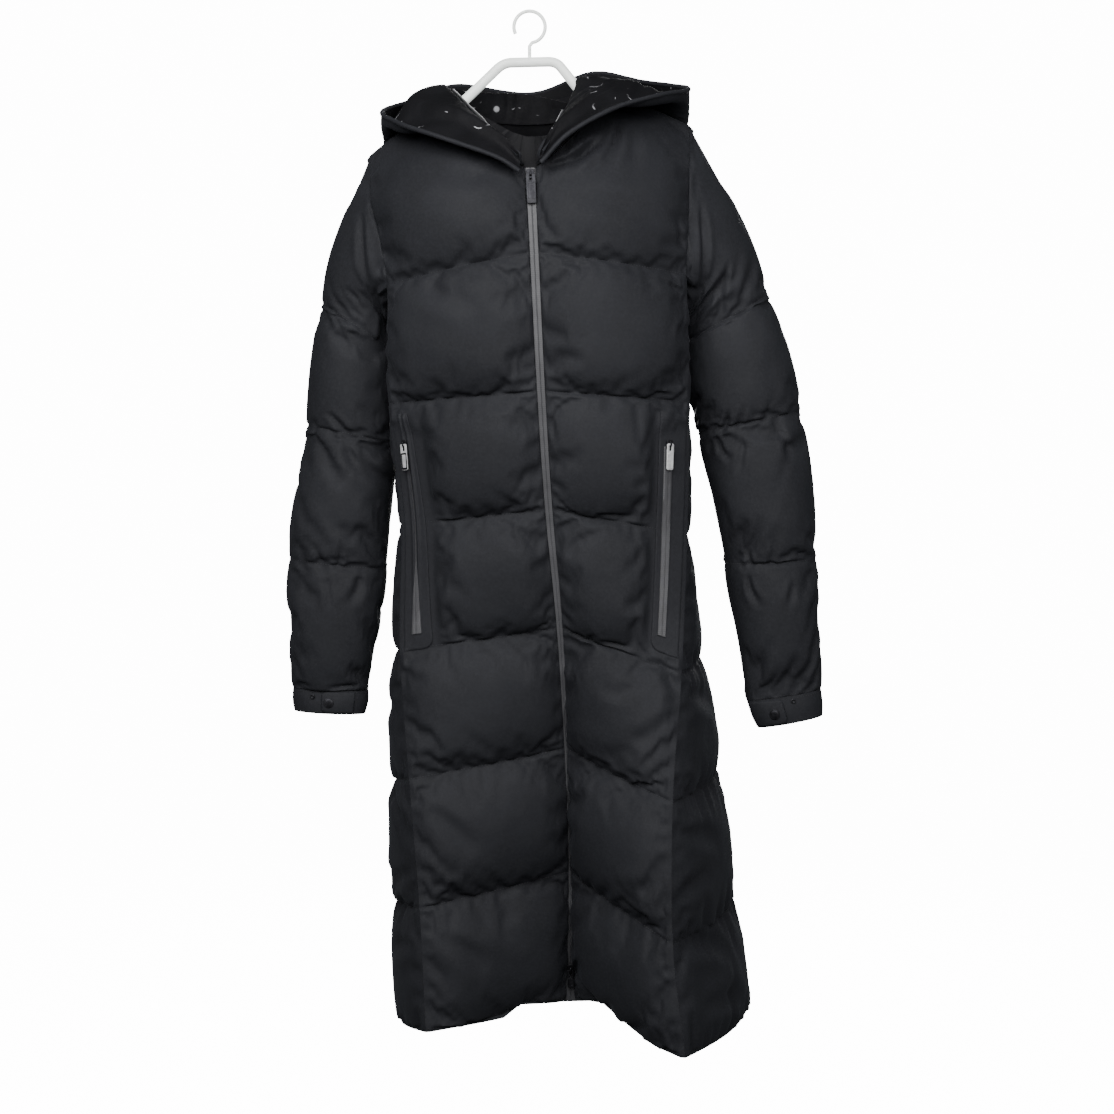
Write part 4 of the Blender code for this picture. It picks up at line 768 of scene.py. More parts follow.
def shared_normals(panels):
    """Unit normals of each panel's points, the same for all that share a seam."""
    points = np.concatenate([panel.grid.reshape(-1, 3) for panel in panels])
    own = np.concatenate([corner_normals(panel.grid, panel.closed, panel.turn).reshape(-1, 3)
                          for panel in panels])
    keys = np.round(points * 1e5 + 0.137).astype(np.int64)
    _, group = np.unique(keys, axis=0, return_inverse=True)
    group = group.reshape(-1)
    total = np.stack([np.bincount(group, own[:, k]) for k in range(3)], axis=-1)
    ends = np.cumsum([panel.grid[..., 0].size for panel in panels])
    parts = np.split(unit(total[group]), ends[:-1])
    return {panel.name: part.reshape(panel.grid.shape) for panel, part in zip(panels, parts)}


def drawn_in(grid, closed, gap):
    """The grid with its free edges moved into the panel by gap."""
    moved = grid.copy()
    moved[0] += unit(grid[1] - grid[0]) * gap
    moved[-1] += unit(grid[-2] - grid[-1]) * gap
    if not closed:
        moved[:, 0] += unit(grid[:, 1] - grid[:, 0]) * gap
        moved[:, -1] += unit(grid[:, -2] - grid[:, -1]) * gap
    return moved


# Puckers and folds

class Cloth:
    """A grid with the distances along its own rows and columns, in metres."""

    def __init__(self, grid):
        self.grid = grid
        steps = np.linalg.norm(np.diff(grid, axis=1), axis=-1)
        self.across = np.concatenate([np.zeros((len(grid), 1)), np.cumsum(steps, axis=1)], axis=1)
        self.width = self.across[:, -1:]
        steps = np.linalg.norm(np.diff(grid, axis=0), axis=-1)
        self.up = np.concatenate([np.zeros((1, grid.shape[1])), np.cumsum(steps, axis=0)])

    def edge_distance(self):
        return np.minimum(self.across, self.width - self.across)


def start_fade(distance, width=0.004):
    """0 on a sewn line and 1 a little away from it."""
    return 1 - np.exp(-np.clip(distance, 0, None) / width)


def crumple(wave):
    """Turns a soft wave into rounded ridges with sharper valleys between."""
    return 2 * np.sqrt(wave ** 2 + 0.012) - 0.9


def gathers(cloth, rows, depth, reach, seed):
    """Puckers that leave each sewn row and run out into the cloth.

    Each row has its own noise, and so has each side of it.
    """
    field = np.zeros(cloth.up.shape)
    warp = 0.006 * mottle(cloth.across / 0.05, cloth.up / 0.05, seed)
    for k, row in enumerate(rows):
        away = cloth.up - cloth.up[row]
        for way in (1, -1):
            distance = np.clip(way * away, 0, None)
            clump = 0.5 + 0.5 * ripple(cloth.across / 0.06, seed + 13 * k + way)
            near = start_fade(distance)
            for scale, share in GATHER_SIZES:
                wave = ripple((cloth.across + warp) / (GATHER_PITCH * scale),
                              seed + 29 * k + 5 * way)
                field += depth * share * crumple(wave) * clump * near * np.exp(
                    -distance / (reach * scale * (0.7 + 0.5 * clump)))
    return field


def folds(cloth, table, plane):
    """Troughs given one by one over a panel; plane lists the two axes they lie in."""
    places = cloth.grid[..., plane]
    field = np.zeros(places.shape[:2])
    for fold in table:
        start, end = np.array(fold.start), np.array(fold.end)
        length = np.linalg.norm(end - start)
        way = (end - start) / length
        offset = places - start
        share = (offset @ way) / length
        inside = np.clip(share, 0, 1)
        side = offset @ np.array((-way[1], way[0])) - fold.bend * np.sin(np.pi * inside)
        taper = np.sin(np.pi * inside) ** 0.6 * (share > 0) * (share < 1)
        width = fold.width * (0.75 + 0.5 * inside)
        field += fold.depth * taper * (
            FOLD_LIP * np.exp(-((np.abs(side) - FOLD_LIP_PLACE * width) / width) ** 2)
            - np.exp(-(side / width) ** 2))
    return field


# Shader building

UV_PLACE, OBJECT_PLACE = 2, 3      # outputs of a Texture Coordinate node


class Value:
    """A number socket that takes part in sums like a number."""

    def __init__(self, nodes, socket):
        self.nodes, self.socket = nodes, socket

    def __add__(self, other):
        return self.nodes.math("ADD", self, other)

    def __sub__(self, other):
        return self.nodes.math("SUBTRACT", self, other)

    def __rsub__(self, other):
        return self.nodes.math("SUBTRACT", other, self)

    def __mul__(self, other):
        return self.nodes.math("MULTIPLY", self, other)

    __radd__ = __add__


class Nodes:
    """The nodes of one material, added with their inputs and settings."""

    def __init__(self, tree):
        self.tree = tree

    def add(self, kind, inputs, output=0, **settings):
        """Adds a node; inputs has sockets by name or by place."""
        node = self.tree.nodes.new(kind)
        for name, setting in settings.items():
            setattr(node, name, setting)
        for name, given in inputs.items():
            self.feed(node.inputs[name], given)
        return Value(self, node.outputs[output])

    def feed(self, target, given):
        if isinstance(given, Value):
            self.tree.links.new(given.socket, target)
        else:
            target.default_value = given

    def math(self, operation, *values):
        return self.add("ShaderNodeMath", dict(enumerate(values)), operation=operation)

    def noise(self, vector, scale, detail=2.0, roughness=0.5):
        return self.add("ShaderNodeTexNoise", {"Vector": vector, "Scale": scale,
                                               "Detail": detail, "Roughness": roughness})

    def waves(self, vector, direction, scale, distortion):
        return self.add("ShaderNodeTexWave", {"Vector": vector, "Scale": scale,
                        "Distortion": distortion}, bands_direction=direction)

    def ramp(self, value, low, high):
        """0 below low, 1 above high."""
        return self.add("ShaderNodeMapRange", {"Value": value, "From Min": low,
                        "From Max": high}, interpolation_type="SMOOTHSTEP")

    def mix(self, share, first, second):
        return self.add("ShaderNodeMix", {0: share, 6: first, 7: second}, 2, data_type="RGBA")

    def bump(self, height, strength, distance, under=None):
        """A bump, on top of the one under it where that is given."""
        inputs = {"Height": height, "Strength": strength, "Distance": distance}
        if under is not None:
            inputs["Normal"] = under
        return self.add("ShaderNodeBump", inputs)


def colour(*rgb):
    return (*rgb, 1.0)


def look(name):
    """The material of that name, made once."""
    material = bpy.data.materials.get(name)
    if material is None:
        material = bpy.data.materials.new(name)
        material.use_nodes = True
        nodes = Nodes(material.node_tree)
        shader = material.node_tree.nodes["Principled BSDF"]
        space = nodes.add("ShaderNodeTexCoord", {}, OBJECT_PLACE)
        for socket, given in LOOKS[name](nodes, space).items():
            nodes.feed(shader.inputs[socket], given)
    return material


# Looks: each gives the main shader's sockets

LINING_SHADES = (colour(0.0045, 0.0045, 0.0055), colour(0.0080, 0.0080, 0.0095))


def matte_shell(nodes, space):
    """Matt, tightly woven shell: a soft sheen, fine creases and a faint weave."""
    threads = nodes.add("ShaderNodeTexCoord", {}, UV_PLACE)
    fine = nodes.noise(space, 260.0)
    base = nodes.mix(nodes.ramp(nodes.noise(space, 9.0, 3.0), 0.35, 0.65),
                     colour(0.0130, 0.0135, 0.0162), colour(0.0170, 0.0176, 0.0208))
    warp, weft = (nodes.waves(threads, way, 330.0, 0.6) for way in "XY")
    creases = nodes.bump(nodes.noise(space, 46.0, 3.0, 0.6), 0.35, 0.0016)
    return {
        "Base Color": nodes.mix(nodes.ramp(fine, 0.3, 0.8) * 0.35, base,
                                colour(0.022, 0.023, 0.027)),
        "Roughness": 0.62 + nodes.noise(space, 22.0) * 0.14,
        "Normal": nodes.bump(warp + weft + fine * 0.8, 0.16, 0.0002, creases),
        "Sheen Weight": 0.03, "Sheen Roughness": 0.4,
        "Sheen Tint": colour(0.62, 0.68, 0.80), "Specular IOR Level": 0.18,
    }


def smooth_lining(nodes, space):
    """Smooth lining cloth, a little glossier than the shell."""
    broad = nodes.noise(space, 14.0, 3.0)
    height = nodes.noise(space, 60.0, 3.0) + nodes.noise(space, 420.0, 1.0) * 0.2
    return {"Base Color": nodes.mix(nodes.ramp(broad, 0.35, 0.7), *LINING_SHADES),
            "Roughness": 0.55 + broad * 0.14, "Normal": nodes.bump(height, 0.35, 0.0012),
            "Specular IOR Level": 0.2}


def hood_lining(nodes, space):
    """The hood's smooth lining, with sparse short silver arcs of no meaning."""
    cells = {"Vector": space, "Scale": 32.0, "Randomness": 1.0}
    reach = nodes.add("ShaderNodeTexVoronoi", cells)
    cell = nodes.add("ShaderNodeSeparateColor", {0: nodes.add("ShaderNodeTexVoronoi", cells, 1)})
    away = nodes.math("ABSOLUTE", reach + nodes.noise(space, 60.0, 1.0) * 0.049 - 0.44)
    ring = 1.0 - nodes.ramp(away, 0.010, 0.032)
    broken = nodes.ramp(nodes.noise(space, 62.0, 0.0), 0.60, 0.65)
    glint = ring * broken * nodes.ramp(cell, 0.20, 0.24)
    cloth = nodes.mix(nodes.ramp(nodes.noise(space, 16.0, 3.0), 0.35, 0.7), *LINING_SHADES)
    height = nodes.noise(space, 60.0, 4.0, 0.6) + glint * 0.5
    return {"Base Color": nodes.mix(glint, cloth, colour(0.36, 0.36, 0.38)),
            "Roughness": 0.68 - glint * 0.3, "Normal": nodes.bump(height, 0.55, 0.0022),
            "Specular IOR Level": 0.13}


def coated_zip_tape(nodes, space):
    """Coated grey tape with a fine ribbed grain."""
    ribs = nodes.waves(space, "Z", 140.0, 0.4)
    grain = nodes.noise(space, 300.0)
    wear = nodes.ramp(nodes.noise(space, 24.0, 3.0), 0.3, 0.75)
    base = nodes.mix(wear, colour(0.042, 0.042, 0.046), colour(0.069, 0.069, 0.074))
    return {"Base Color": nodes.mix(grain * 0.3, base, colour(0.035, 0.035, 0.038)),
            "Roughness": 0.40 + grain * 0.16,
            "Normal": nodes.bump(ribs + grain * 0.6, 0.25, 0.0003), "Specular IOR Level": 0.5}


def metal(dark, light, roughness, metallic=0.9):
    """Cast and plated metal with faint wear and polishing marks."""
    def plated(nodes, space):
        spots = nodes.noise(space, 180.0, 3.0)
        return {"Base Color": nodes.mix(nodes.ramp(spots, 0.35, 0.7), dark, light),
                "Roughness": roughness + spots * 0.12, "Metallic": metallic,
                "Normal": nodes.bump(nodes.noise(space, 900.0, 1.0), 0.10, 0.0001)}
    return plated


def sewing_thread(nodes, space):
    """Twisted sewing thread."""
    twist = nodes.noise(space, 1400.0, 1.0)
    return {"Base Color": nodes.mix(twist, colour(0.010, 0.010, 0.012),
                                    colour(0.030, 0.030, 0.034)),
            "Roughness": 0.62, "Normal": nodes.bump(twist, 0.5, 0.0002)}


def white_plastic(nodes, space):
    """White moulded plastic with a slight greenish cast, faint scuffs and a painted glow."""
    scuff = nodes.noise(space, 70.0, 4.0)
    return {"Base Color": nodes.mix(nodes.ramp(scuff, 0.4, 0.75), colour(0.93, 0.96, 0.93),
                                    colour(0.86, 0.89, 0.86)),
            "Roughness": 0.32 + scuff * 0.18, "Normal": nodes.bump(scuff, 0.12, 0.0006),
            # Painted glow: the plastic emits light of its own, so it looks brighter than the lamps
            # make it.
            "Coat Weight": 0.2, "Emission Color": colour(0.95, 1.0, 0.95),
            "Emission Strength": 0.5}


def pale_backdrop(nodes, space):
    """Evenly lit paper."""
    return {"Base Color": nodes.mix(nodes.noise(space, 3.0), colour(0.90, 0.90, 0.90),
                                    colour(0.94, 0.94, 0.94)),
            "Roughness": 0.9, "Emission Color": colour(1.0, 1.0, 1.0),
            "Emission Strength": 14.0}


LOOKS = {
    "matte_shell": matte_shell,
    "smooth_lining": smooth_lining,
    "hood_lining": hood_lining,
    "coated_zip_tape": coated_zip_tape,
    "gunmetal": metal(colour(0.018, 0.018, 0.021), colour(0.034, 0.034, 0.038), 0.36),
    "black_metal": metal(colour(0.016, 0.016, 0.018), colour(0.028, 0.028, 0.031), 0.36),
    "bright_metal": metal(colour(0.62, 0.62, 0.63), colour(0.80, 0.80, 0.80), 0.30, 0.5),
    "sewing_thread": sewing_thread,
    "white_plastic": white_plastic,
    "pale_backdrop": pale_backdrop,
}


# Meshes

def wall_mesh(name, outer, inner, closed, turn, cloth):
    """A closed wall between two grids of one shape; its UVs are in metres.

    The outer side has material 0 and the inner side material 1.
    """
    rows, columns = outer.shape[:2]
    wide = columns + 1 if closed else columns
    count = rows * wide
    number = np.arange(count).reshape(rows, wide)
    outside = quads(number[:-1, :-1], number[:-1, 1:], number[1:, 1:], number[1:, :-1])
    rims = [number[0], number[-1][::-1]]
    rims += [] if closed else [number[::-1, 0], number[:, -1]]
    faces = np.concatenate([
        outside, *(quads(rim[1:], rim[:-1], rim[:-1] + count, rim[1:] + count) for rim in rims),
        outside[:, ::-1] + count])
    if turn > 0:
        faces = faces[:, ::-1]
    flat = faces.reshape(-1)
    level, rest = flat // count, flat % count
    corner = level * rows * columns + (rest // wide) * columns + (rest % wide) % columns
    mesh = bpy.data.meshes.new(name)
    points = np.concatenate([outer.reshape(-1, 3), inner.reshape(-1, 3)])
    mesh.from_pydata(points.tolist(), [], corner.reshape(-1, 4).tolist())
    across, up = cloth.across, cloth.up
    if closed:
        across = np.concatenate([across, cloth.width], axis=1)
        up = np.concatenate([up, up[:, :1]], axis=1)
    uv = np.stack([across.reshape(-1)[rest], up.reshape(-1)[rest]], axis=-1)
    mesh.uv_layers.new(name="cloth").data.foreach_set("uv", uv.reshape(-1))
    lined = np.zeros(len(faces), int)
    lined[-len(outside):] = 1
    mesh.polygons.foreach_set("material_index", lined)
    return shaded(mesh, sharp=62)


def quads(a, b, c, d):
    """Faces from four equal grids of point numbers."""
    return np.stack([a, b, c, d], axis=-1).reshape(-1, 4)


def shaded(mesh, sharp):
    """The mesh, smooth but for edges of more degrees than sharp."""
    mesh.shade_smooth()
    mesh.set_sharp_from_angle(angle=math.radians(sharp))
    return mesh


def mesh_from(name, points, faces, sharp=40):
    mesh = bpy.data.meshes.new(name)
    mesh.from_pydata([tuple(point) for point in points], [], faces)
    return shaded(mesh, sharp)


def turned_out(mesh):
    """The closed mesh with all its faces turned outwards."""
    work = bmesh.new()
    work.from_mesh(mesh)
    bmesh.ops.recalc_face_normals(work, faces=work.faces)
    if work.calc_volume(signed=True) < 0:
        bmesh.ops.reverse_faces(work, faces=work.faces)
    work.to_mesh(mesh)
    work.free()
    return mesh


def tube_mesh(name, points, radius, sides=16, flat=1.0, up=(0, 0, 1)):
    """A closed round or flattened tube along a chain of points."""
    points = np.asarray(points, float)
    way = unit(np.gradient(points, axis=0))
    side = unit(np.cross(way, up))
    top = np.cross(side, way)
    turns = np.linspace(0, 2 * np.pi, sides, endpoint=False)
    radius = np.broadcast_to(radius, len(points))[:, None, None]
    ring = (np.cos(turns)[None, :, None] * side[:, None] * flat
            + np.sin(turns)[None, :, None] * top[:, None]) * radius
    number = np.arange(len(points) * sides).reshape(len(points), sides)
    after = np.roll(number, -1, axis=1)
    faces = quads(number[:-1], after[:-1], after[1:], number[1:]).tolist()
    faces += [number[0][::-1].tolist(), number[-1].tolist()]
    return turned_out(mesh_from(name, (points[:, None] + ring).reshape(-1, 3), faces, sharp=50))


def piece(name, mesh, looks, body=COAT, replaces=None):
    """A finished piece that rides on a body."""
    made = bpy.data.objects.new(name, mesh)
    bpy.context.scene.collection.objects.link(made)
    for each in looks:
        mesh.materials.append(look(each))
    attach(made, body)
    if replaces:
        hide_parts(replaces)
    return made


def sample(grid, rows, columns):
    """The grid's points at fractional rows and columns."""
    rows = np.clip(rows, 0, grid.shape[0] - 1)
    columns = np.clip(columns, 0, grid.shape[1] - 1)
    i = np.minimum(rows.astype(int), grid.shape[0] - 2)
    j = np.minimum(columns.astype(int), grid.shape[1] - 2)
    a, b = (rows - i)[..., None], (columns - j)[..., None]
    return ((1 - a) * ((1 - b) * grid[i, j] + b * grid[i, j + 1])
            + a * ((1 - b) * grid[i + 1, j] + b * grid[i + 1, j + 1]))


def over(surface, rows, columns, lift):
    """Points over a panel's outer side, and the way out of it there."""
    out = unit(sample(surface.normal, rows, columns))
    return sample(surface.outer, rows, columns) + out * lift, out


def overlay(name, surface, rows, columns, lift, thickness):
    """A thin wall that follows a panel, thinner towards its rim."""
    low, out = over(surface, rows, columns, lift)
    cloth = Cloth(low)
    edge = np.minimum(cloth.edge_distance(), np.minimum(cloth.up, cloth.up[-1:] - cloth.up))
    wall = thickness * (0.45 + 0.55 * np.sqrt(np.clip(edge / RIM_WIDTH, 0, 1)))
    return wall_mesh(name, low + out * wall[..., None], low, False, surface.turn, cloth), cloth


def flat_size(cloth):
    """Width and height of a cloth laid flat."""
    return float(cloth.width.mean()), float(cloth.up[-1].mean())


# The coat's surfaces

Surface = namedtuple("Surface", "outer normal base cloth closed turn")
made_surfaces = {}


def body_panels():
    panels = []
    for side, turn in TURNS.items():
        panels += [Panel(f"front_{side}", *front_panel(side), False, turn),
                   Panel(f"side_{side}", *side_panel(side), False, turn),
                   Panel(f"sleeve_{side}", *sleeve_tube(side), True, turn),
                   Panel(f"cuff_{side}", *cuff_tube(side), True, turn)]
    return panels + [Panel("back", *back_panel(), False, 1),
                     Panel("main_zip", *zip_panel(), False, -1)]


def surfaces():
    """Every panel's outer side, made once and shared by all that lies on it."""
    if not made_surfaces:
        panels = body_panels()
        normals = shared_normals(panels)
        for panel in panels:
            made_surfaces[panel.name] = dressed(panel, normals[panel.name])
    return made_surfaces


def dressed(panel, normal):
    """A panel with its wall, its filling, its puckers and its folds."""
    kind = panel.name.split("_")[0]
    cloth = Cloth(panel.grid)
    base = drawn_in(panel.grid, panel.closed, SEAM_GAP if panel.closed else SEAM_GAP / 2)
    simulated = kind in FIRST_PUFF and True
    broad, fine = relief(panel, cloth)
    rise = WALL + panel.rise * (FIRST_PUFF[kind] if simulated else 1) + broad
    outer = base + normal * (rise + fine)[..., None]
    if simulated:
        outer = outer + swelling(panel, base + normal * rise[..., None], normal)
    height = ((outer - base) * normal).sum(axis=-1, keepdims=True)
    outer = outer + normal * np.maximum(0, THINNEST - height)
    if kind in FIRST_PUFF:
        outer = sagging(outer, base, normal)
    if kind == "front":
        outer = clear_of_pull(outer)
    return Surface(outer, normal, base, cloth, panel.closed, panel.turn)


def sagging(outer, base, normal):
    """The filling sinks, so each channel hangs over the seam below it."""
    height = ((outer - base) * normal).sum(axis=-1)
    sunk = outer.copy()
    sunk[..., 2] -= bpy.context.scene.coat.sag * np.maximum(height - WALL, 0)
    return sunk


def sewn_points(panel):
    """Where a filled panel is held: its seams, its edges and round its pocket."""
    sewn = np.zeros(panel.grid.shape[:2], bool)
    sewn[SLEEVE_SEAM_ROWS if panel.closed else SEAM_ROWS] = True
    sewn[-1] = True
    if not panel.closed:
        sewn[:, [0, -1]] = True
    if panel.name.startswith("front"):
        sewn |= pocket_flatness(panel.grid, FRONT, panel.name[6:]) < HELD_FLAT
    return sewn


def clear_of_pull(outer):
    """A front pressed in where the raised bottom pull would meet it."""
    joint = next(joint for joint in frame["joints"] if joint["name"] == "bottom_pull_swing")
    aside, _, above = np.moveaxis(outer - joint["pos_m"], -1, 0)
    lean = math.tan(math.radians(180 - joint["range_deg"][1]))
    nearest = joint["pos_m"][1] - lean * np.maximum(above, 0) + PULL_ROOM
    share = np.prod([np.clip((reach - distance) / fade, 0, 1) for distance, (reach, fade) in zip(
        (np.abs(aside), above, -above), PULL_REACH)], axis=0)
    pressed = outer.copy()
    pressed[..., 1] += np.maximum(nearest - outer[..., 1], 0) * share
    return pressed


def doubled(field, around):
    """The rows of a field with a smooth one between each two."""
    if around:
        wide = np.concatenate([field[-1:], field, field[:2]])
    else:
        wide = np.concatenate([2 * field[:1] - field[1:2], field, 2 * field[-1:] - field[-2:-1]])
    between = (9 * (wide[1:-2] + wide[2:-1]) - wide[:-3] - wide[3:]) / 16
    rows = np.empty((len(field) + len(between), *field.shape[1:]))
    rows[::2], rows[1::2] = field, between
    return rows


def swelling(panel, fine_start, fine_normal):
    """How far the filling presses a panel's cloth out between its seams.

    Every second row and column is simulated, and the rest follows them.
    """
    coat, scene = bpy.context.scene.coat, bpy.context.scene
    start, normal = fine_start[::2, ::2], fine_normal[::2, ::2]
    number = np.arange(start[..., 0].size).reshape(start.shape[:2])
    if panel.closed:
        number = np.concatenate([number, number[:, :1]], axis=1)
    faces = quads(number[:-1, :-1], number[:-1, 1:], number[1:, 1:],
                  number[1:, :-1])[:, ::-panel.turn]
    mesh = bpy.data.meshes.new("filled")
    mesh.from_pydata(start.reshape(-1, 3).tolist(), [], faces.tolist())
    cloth = bpy.data.objects.new("filled", mesh)
    scene.collection.objects.link(cloth)
    cloth.vertex_groups.new(name="sewn").add(
        np.flatnonzero(sewn_points(panel)[::2, ::2]).tolist(), 1.0, "REPLACE")
    modifier = cloth.modifiers.new("Cloth", "CLOTH")
    for field, value in (*CLOTH_SETTINGS, ("uniform_pressure_force", coat.pressure),
                         ("shrink_min", -coat.spare_cloth)):
        setattr(modifier.settings, field, value)
    modifier.settings.effector_weights.gravity = 0
    modifier.collision_settings.use_collision = False
    modifier.point_cache.frame_start, modifier.point_cache.frame_end = 1, coat.steps
    shown = scene.frame_current
    for step in range(1, coat.steps + 1):
        scene.frame_set(step)
    filled = cloth.evaluated_get(bpy.context.evaluated_depsgraph_get()).data
    points = np.empty(start.size)
    filled.vertices.foreach_get("co", points)
    bpy.data.objects.remove(cloth)
    bpy.data.meshes.remove(mesh)
    scene.frame_set(shown)
    moved = held_near(points.reshape(start.shape) - start, normal)
    return doubled(doubled(moved, False).swapaxes(0, 1), panel.closed).swapaxes(0, 1)


def held_near(moved, normal):
    """The cloth's motion, kept within a few millimetres."""
    out = (moved * normal).sum(axis=-1, keepdims=True)
    aside = moved - out * normal
    length = np.maximum(np.linalg.norm(aside, axis=-1, keepdims=True), 1e-9)
    return (aside * np.minimum(1, LARGEST_SLIP / length)
            + normal * LARGEST_SWELL * np.tanh(out / LARGEST_SWELL))


def relief(panel, cloth):
    """Heights of one panel over its even puff: broad swells, and fine puckers
    and creases."""
    coat, name = bpy.context.scene.coat, panel.name
    seed = sum(ord(letter) * (k + 1) for k, letter in enumerate(name))
    if name == "main_zip":
        aside = np.abs(np.linspace(-1, 1, panel.grid.shape[1]))
        groove = -ZIP_GROOVE * (aside < ZIP_GROOVE_HALF) - ZIP_EDGE_DROP * (aside > ZIP_EDGE)
        return 0, np.broadcast_to(groove, panel.grid.shape[:2])
    if name.startswith("cuff"):
        swell = CUFF_SWELL * np.sin(np.pi * np.linspace(0, 1, len(panel.grid)))[:, None]
        return 0, swell * (1 + 0.5 * mottle(cloth.across / 0.02, cloth.up / 0.03, seed))
    filled = panel.rise / max(panel.rise.max(), 1e-6)
    uneven = sum(share * mottle(cloth.across / wide, cloth.up / high, seed + k)
                 for k, (wide, high, share) in enumerate(UNEVEN_SIZES, 1))
    broad = coat.unevenness * filled ** 0.6 * uneven
    if panel.closed:
        blend = np.clip(cloth.across / cloth.width / SLEEVE_BLEND, 0, 1)
        broad = broad * blend * blend[:, ::-1]
        fine = gathers(cloth, SLEEVE_SEAM_ROWS, coat.sleeve_gathers, coat.gather_reach, seed)
        edge = 1.0
    else:
        fine = gathers(cloth, SEAM_ROWS, coat.gathers, coat.gather_reach, seed)
        edge = start_fade(cloth.edge_distance(), 0.012)
    shown = edge * start_fade(np.minimum(cloth.up, cloth.up[-1:] - cloth.up))
    if name.startswith("front"):
        shown = shown * pocket_flatness(panel.grid, FRONT, name[6:])
    plane = [1, 2] if name.startswith("side") else [0, 2]
    creases = folds(cloth, FOLDS[name], plane) * np.maximum(shown, 0) ** 0.4
    return broad * shown, fine * shown + creases


# Body and sleeves

class Settings(bpy.types.PropertyGroup):
    """Relief of the cloth, and how it is filled and sewn."""
    unevenness: FloatProperty(
        name="Unevenness", description="How far filled channels depart from an even puff",
        default=0.0016, unit="LENGTH")
    gathers: FloatProperty(
        name="Gathers", description="Depth of the first puckers along the body's quilted seams",
        default=0.0008, unit="LENGTH")
    sleeve_gathers: FloatProperty(
        name="Sleeve gathers", description="Depth of the first puckers along the sleeves' seams",
        default=0.0020, unit="LENGTH")
    pressure: FloatProperty(
        name="Pressure", description="How hard the filling presses the cloth out", default=15.0)
    spare_cloth: FloatProperty(
        name="Spare cloth", description="Share by which the cloth is longer than its seams",
        default=0.04)
    sag: FloatProperty(
        name="Sag", description="How far the filling sinks for each metre of puff", default=0.45)
    steps: IntProperty(
        name="Steps", description="Frames for which the filling presses", default=18)
    gather_reach: FloatProperty(
        name="Gather reach", description="How far puckers run out from a seam",
        default=0.022, unit="LENGTH")
    stitch: FloatProperty(
        name="Stitch", description="Length of one stitch with its gap",
        default=0.0036, unit="LENGTH")


def cloth_piece(name):
    """One panel as a lined wall that replaces its solid."""
    surface = surfaces()[name]
    mesh = wall_mesh(name, surface.outer, surface.base, surface.closed, surface.turn,
                     surface.cloth)
    return piece(f"{name}_cloth", mesh, ["matte_shell", "smooth_lining"], replaces=name)


class COAT_OT_body(bpy.types.Operator):
    """Make the fronts, the side panels and the back"""
    bl_idname = "coat.body"
    bl_label = "Body"

    def execute(self, context):
        for name in ("front_left", "front_right", "side_left", "side_right", "back"):
            cloth_piece(name)
        return {"FINISHED"}


class COAT_OT_sleeves(bpy.types.Operator):
    """Make the quilted sleeves and their plain cuffs"""
    bl_idname = "coat.sleeves"
    bl_label = "Sleeves"

    def execute(self, context):
        for side in TURNS:
            cloth_piece(f"sleeve_{side}")
            cuff = f"cuff_{side}"
            cloth_piece(cuff)
            flat_size(surfaces()[cuff].cloth)
        return {"FINISHED"}


# Hood, binding and collar

def neck_edge(shares, seat):
    """Points over the body's neck edge, from the zip's left to its right."""
    half, low = len(FRONT) // 2, len(SHOULDER_SHARES) - 1
    runs = []
    for name, columns in (("front_left", slice(0, half + 1)),
                          ("back", slice(low + 1, low + len(NECK) - 1)),
                          ("front_right", slice(half, None, -1))):
        grid = surfaces()[name].cloth.grid
        top = grid[-1, columns]
        runs.append(top + unit(top - grid[-3, columns]) * seat)
    return along_chain(np.concatenate(runs), shares)


def hood_surface(places, shares):
    """Points of the hood's lining: places count the sections, shares run from
    the neck edge at 0 to the mouth's edge at 1."""
    neck = neck_edge([section.neck for section in HOOD_SECTIONS], HOOD_SEAT)
    neck = neck + unit((neck - neck.mean(axis=0)) * (1, 1, 0)) * HOOD_OUTSET
    fold, bottom, edge = (np.array([getattr(section, part) for section in HOOD_SECTIONS])
                          for part in ("fold", "bottom", "edge"))
    outward = unit((bottom - neck) * (1, 1, 0)) * 0.6 + (0, 0, 0.8)      # and up
    under = (fold + bottom) / 2 + outward * HOOD_ARCH
    curves = smooth(np.stack([neck, fold, under, bottom, edge], axis=1), places)
    return np.array([along(curve, shares) for curve in curves])


def hood_sheet():
    """The whole hood as one lining grid: its rows' shares from the neck edge, its
    points, its outward normals and how full it is."""
    last = len(HOOD_SECTIONS) - 1
    places = np.linspace(0, last, HOOD_COLUMNS * last + 1)
    shares = np.linspace(0, 1, HOOD_ROWS + 1)
    grid = hood_surface(places, shares).transpose(1, 0, 2)
    normal = unit(corner_normals(grid, False, 1))
    cloth = Cloth(grid)
    full = np.sin(np.pi * shares)[:, None].clip(0) ** 0.7
    full = full * np.clip(np.minimum(places, last - places) / HOOD_FRONT_FADE, 0, 1)
    # Soft swells, and finer wrinkles that run aslant
    field = 0.0016 * mottle(cloth.across / 0.030, cloth.up / 0.045, 71)
    field += 0.0009 * crumple(mottle(cloth.across / 0.014 + cloth.up / 0.03, cloth.up / 0.035, 72))
    return shares, grid + normal * (field * full)[..., None], normal, full


def binding_mesh():
    """The binding that wraps the edge of the hood's mouth."""
    edge = hood_surface(np.linspace(0, len(HOOD_SECTIONS) - 1, 300), [0.97, 1.0])
    outward = unit(edge[:, 1] - edge[:, 0])
    across = np.cross(unit(np.gradient(edge[:, 1], axis=0)), outward)
    middle = edge[:, 1] + outward * EDGE_RADIUS * 0.4 - across * HOOD_WALL / 2
    run = run_of(middle)
    radius = EDGE_RADIUS * (1 + 0.07 * ripple(run / 0.006, 5) + 0.05 * ripple(run / 0.03, 6))
    return tube_mesh("hood_binding", middle, radius, sides=14)


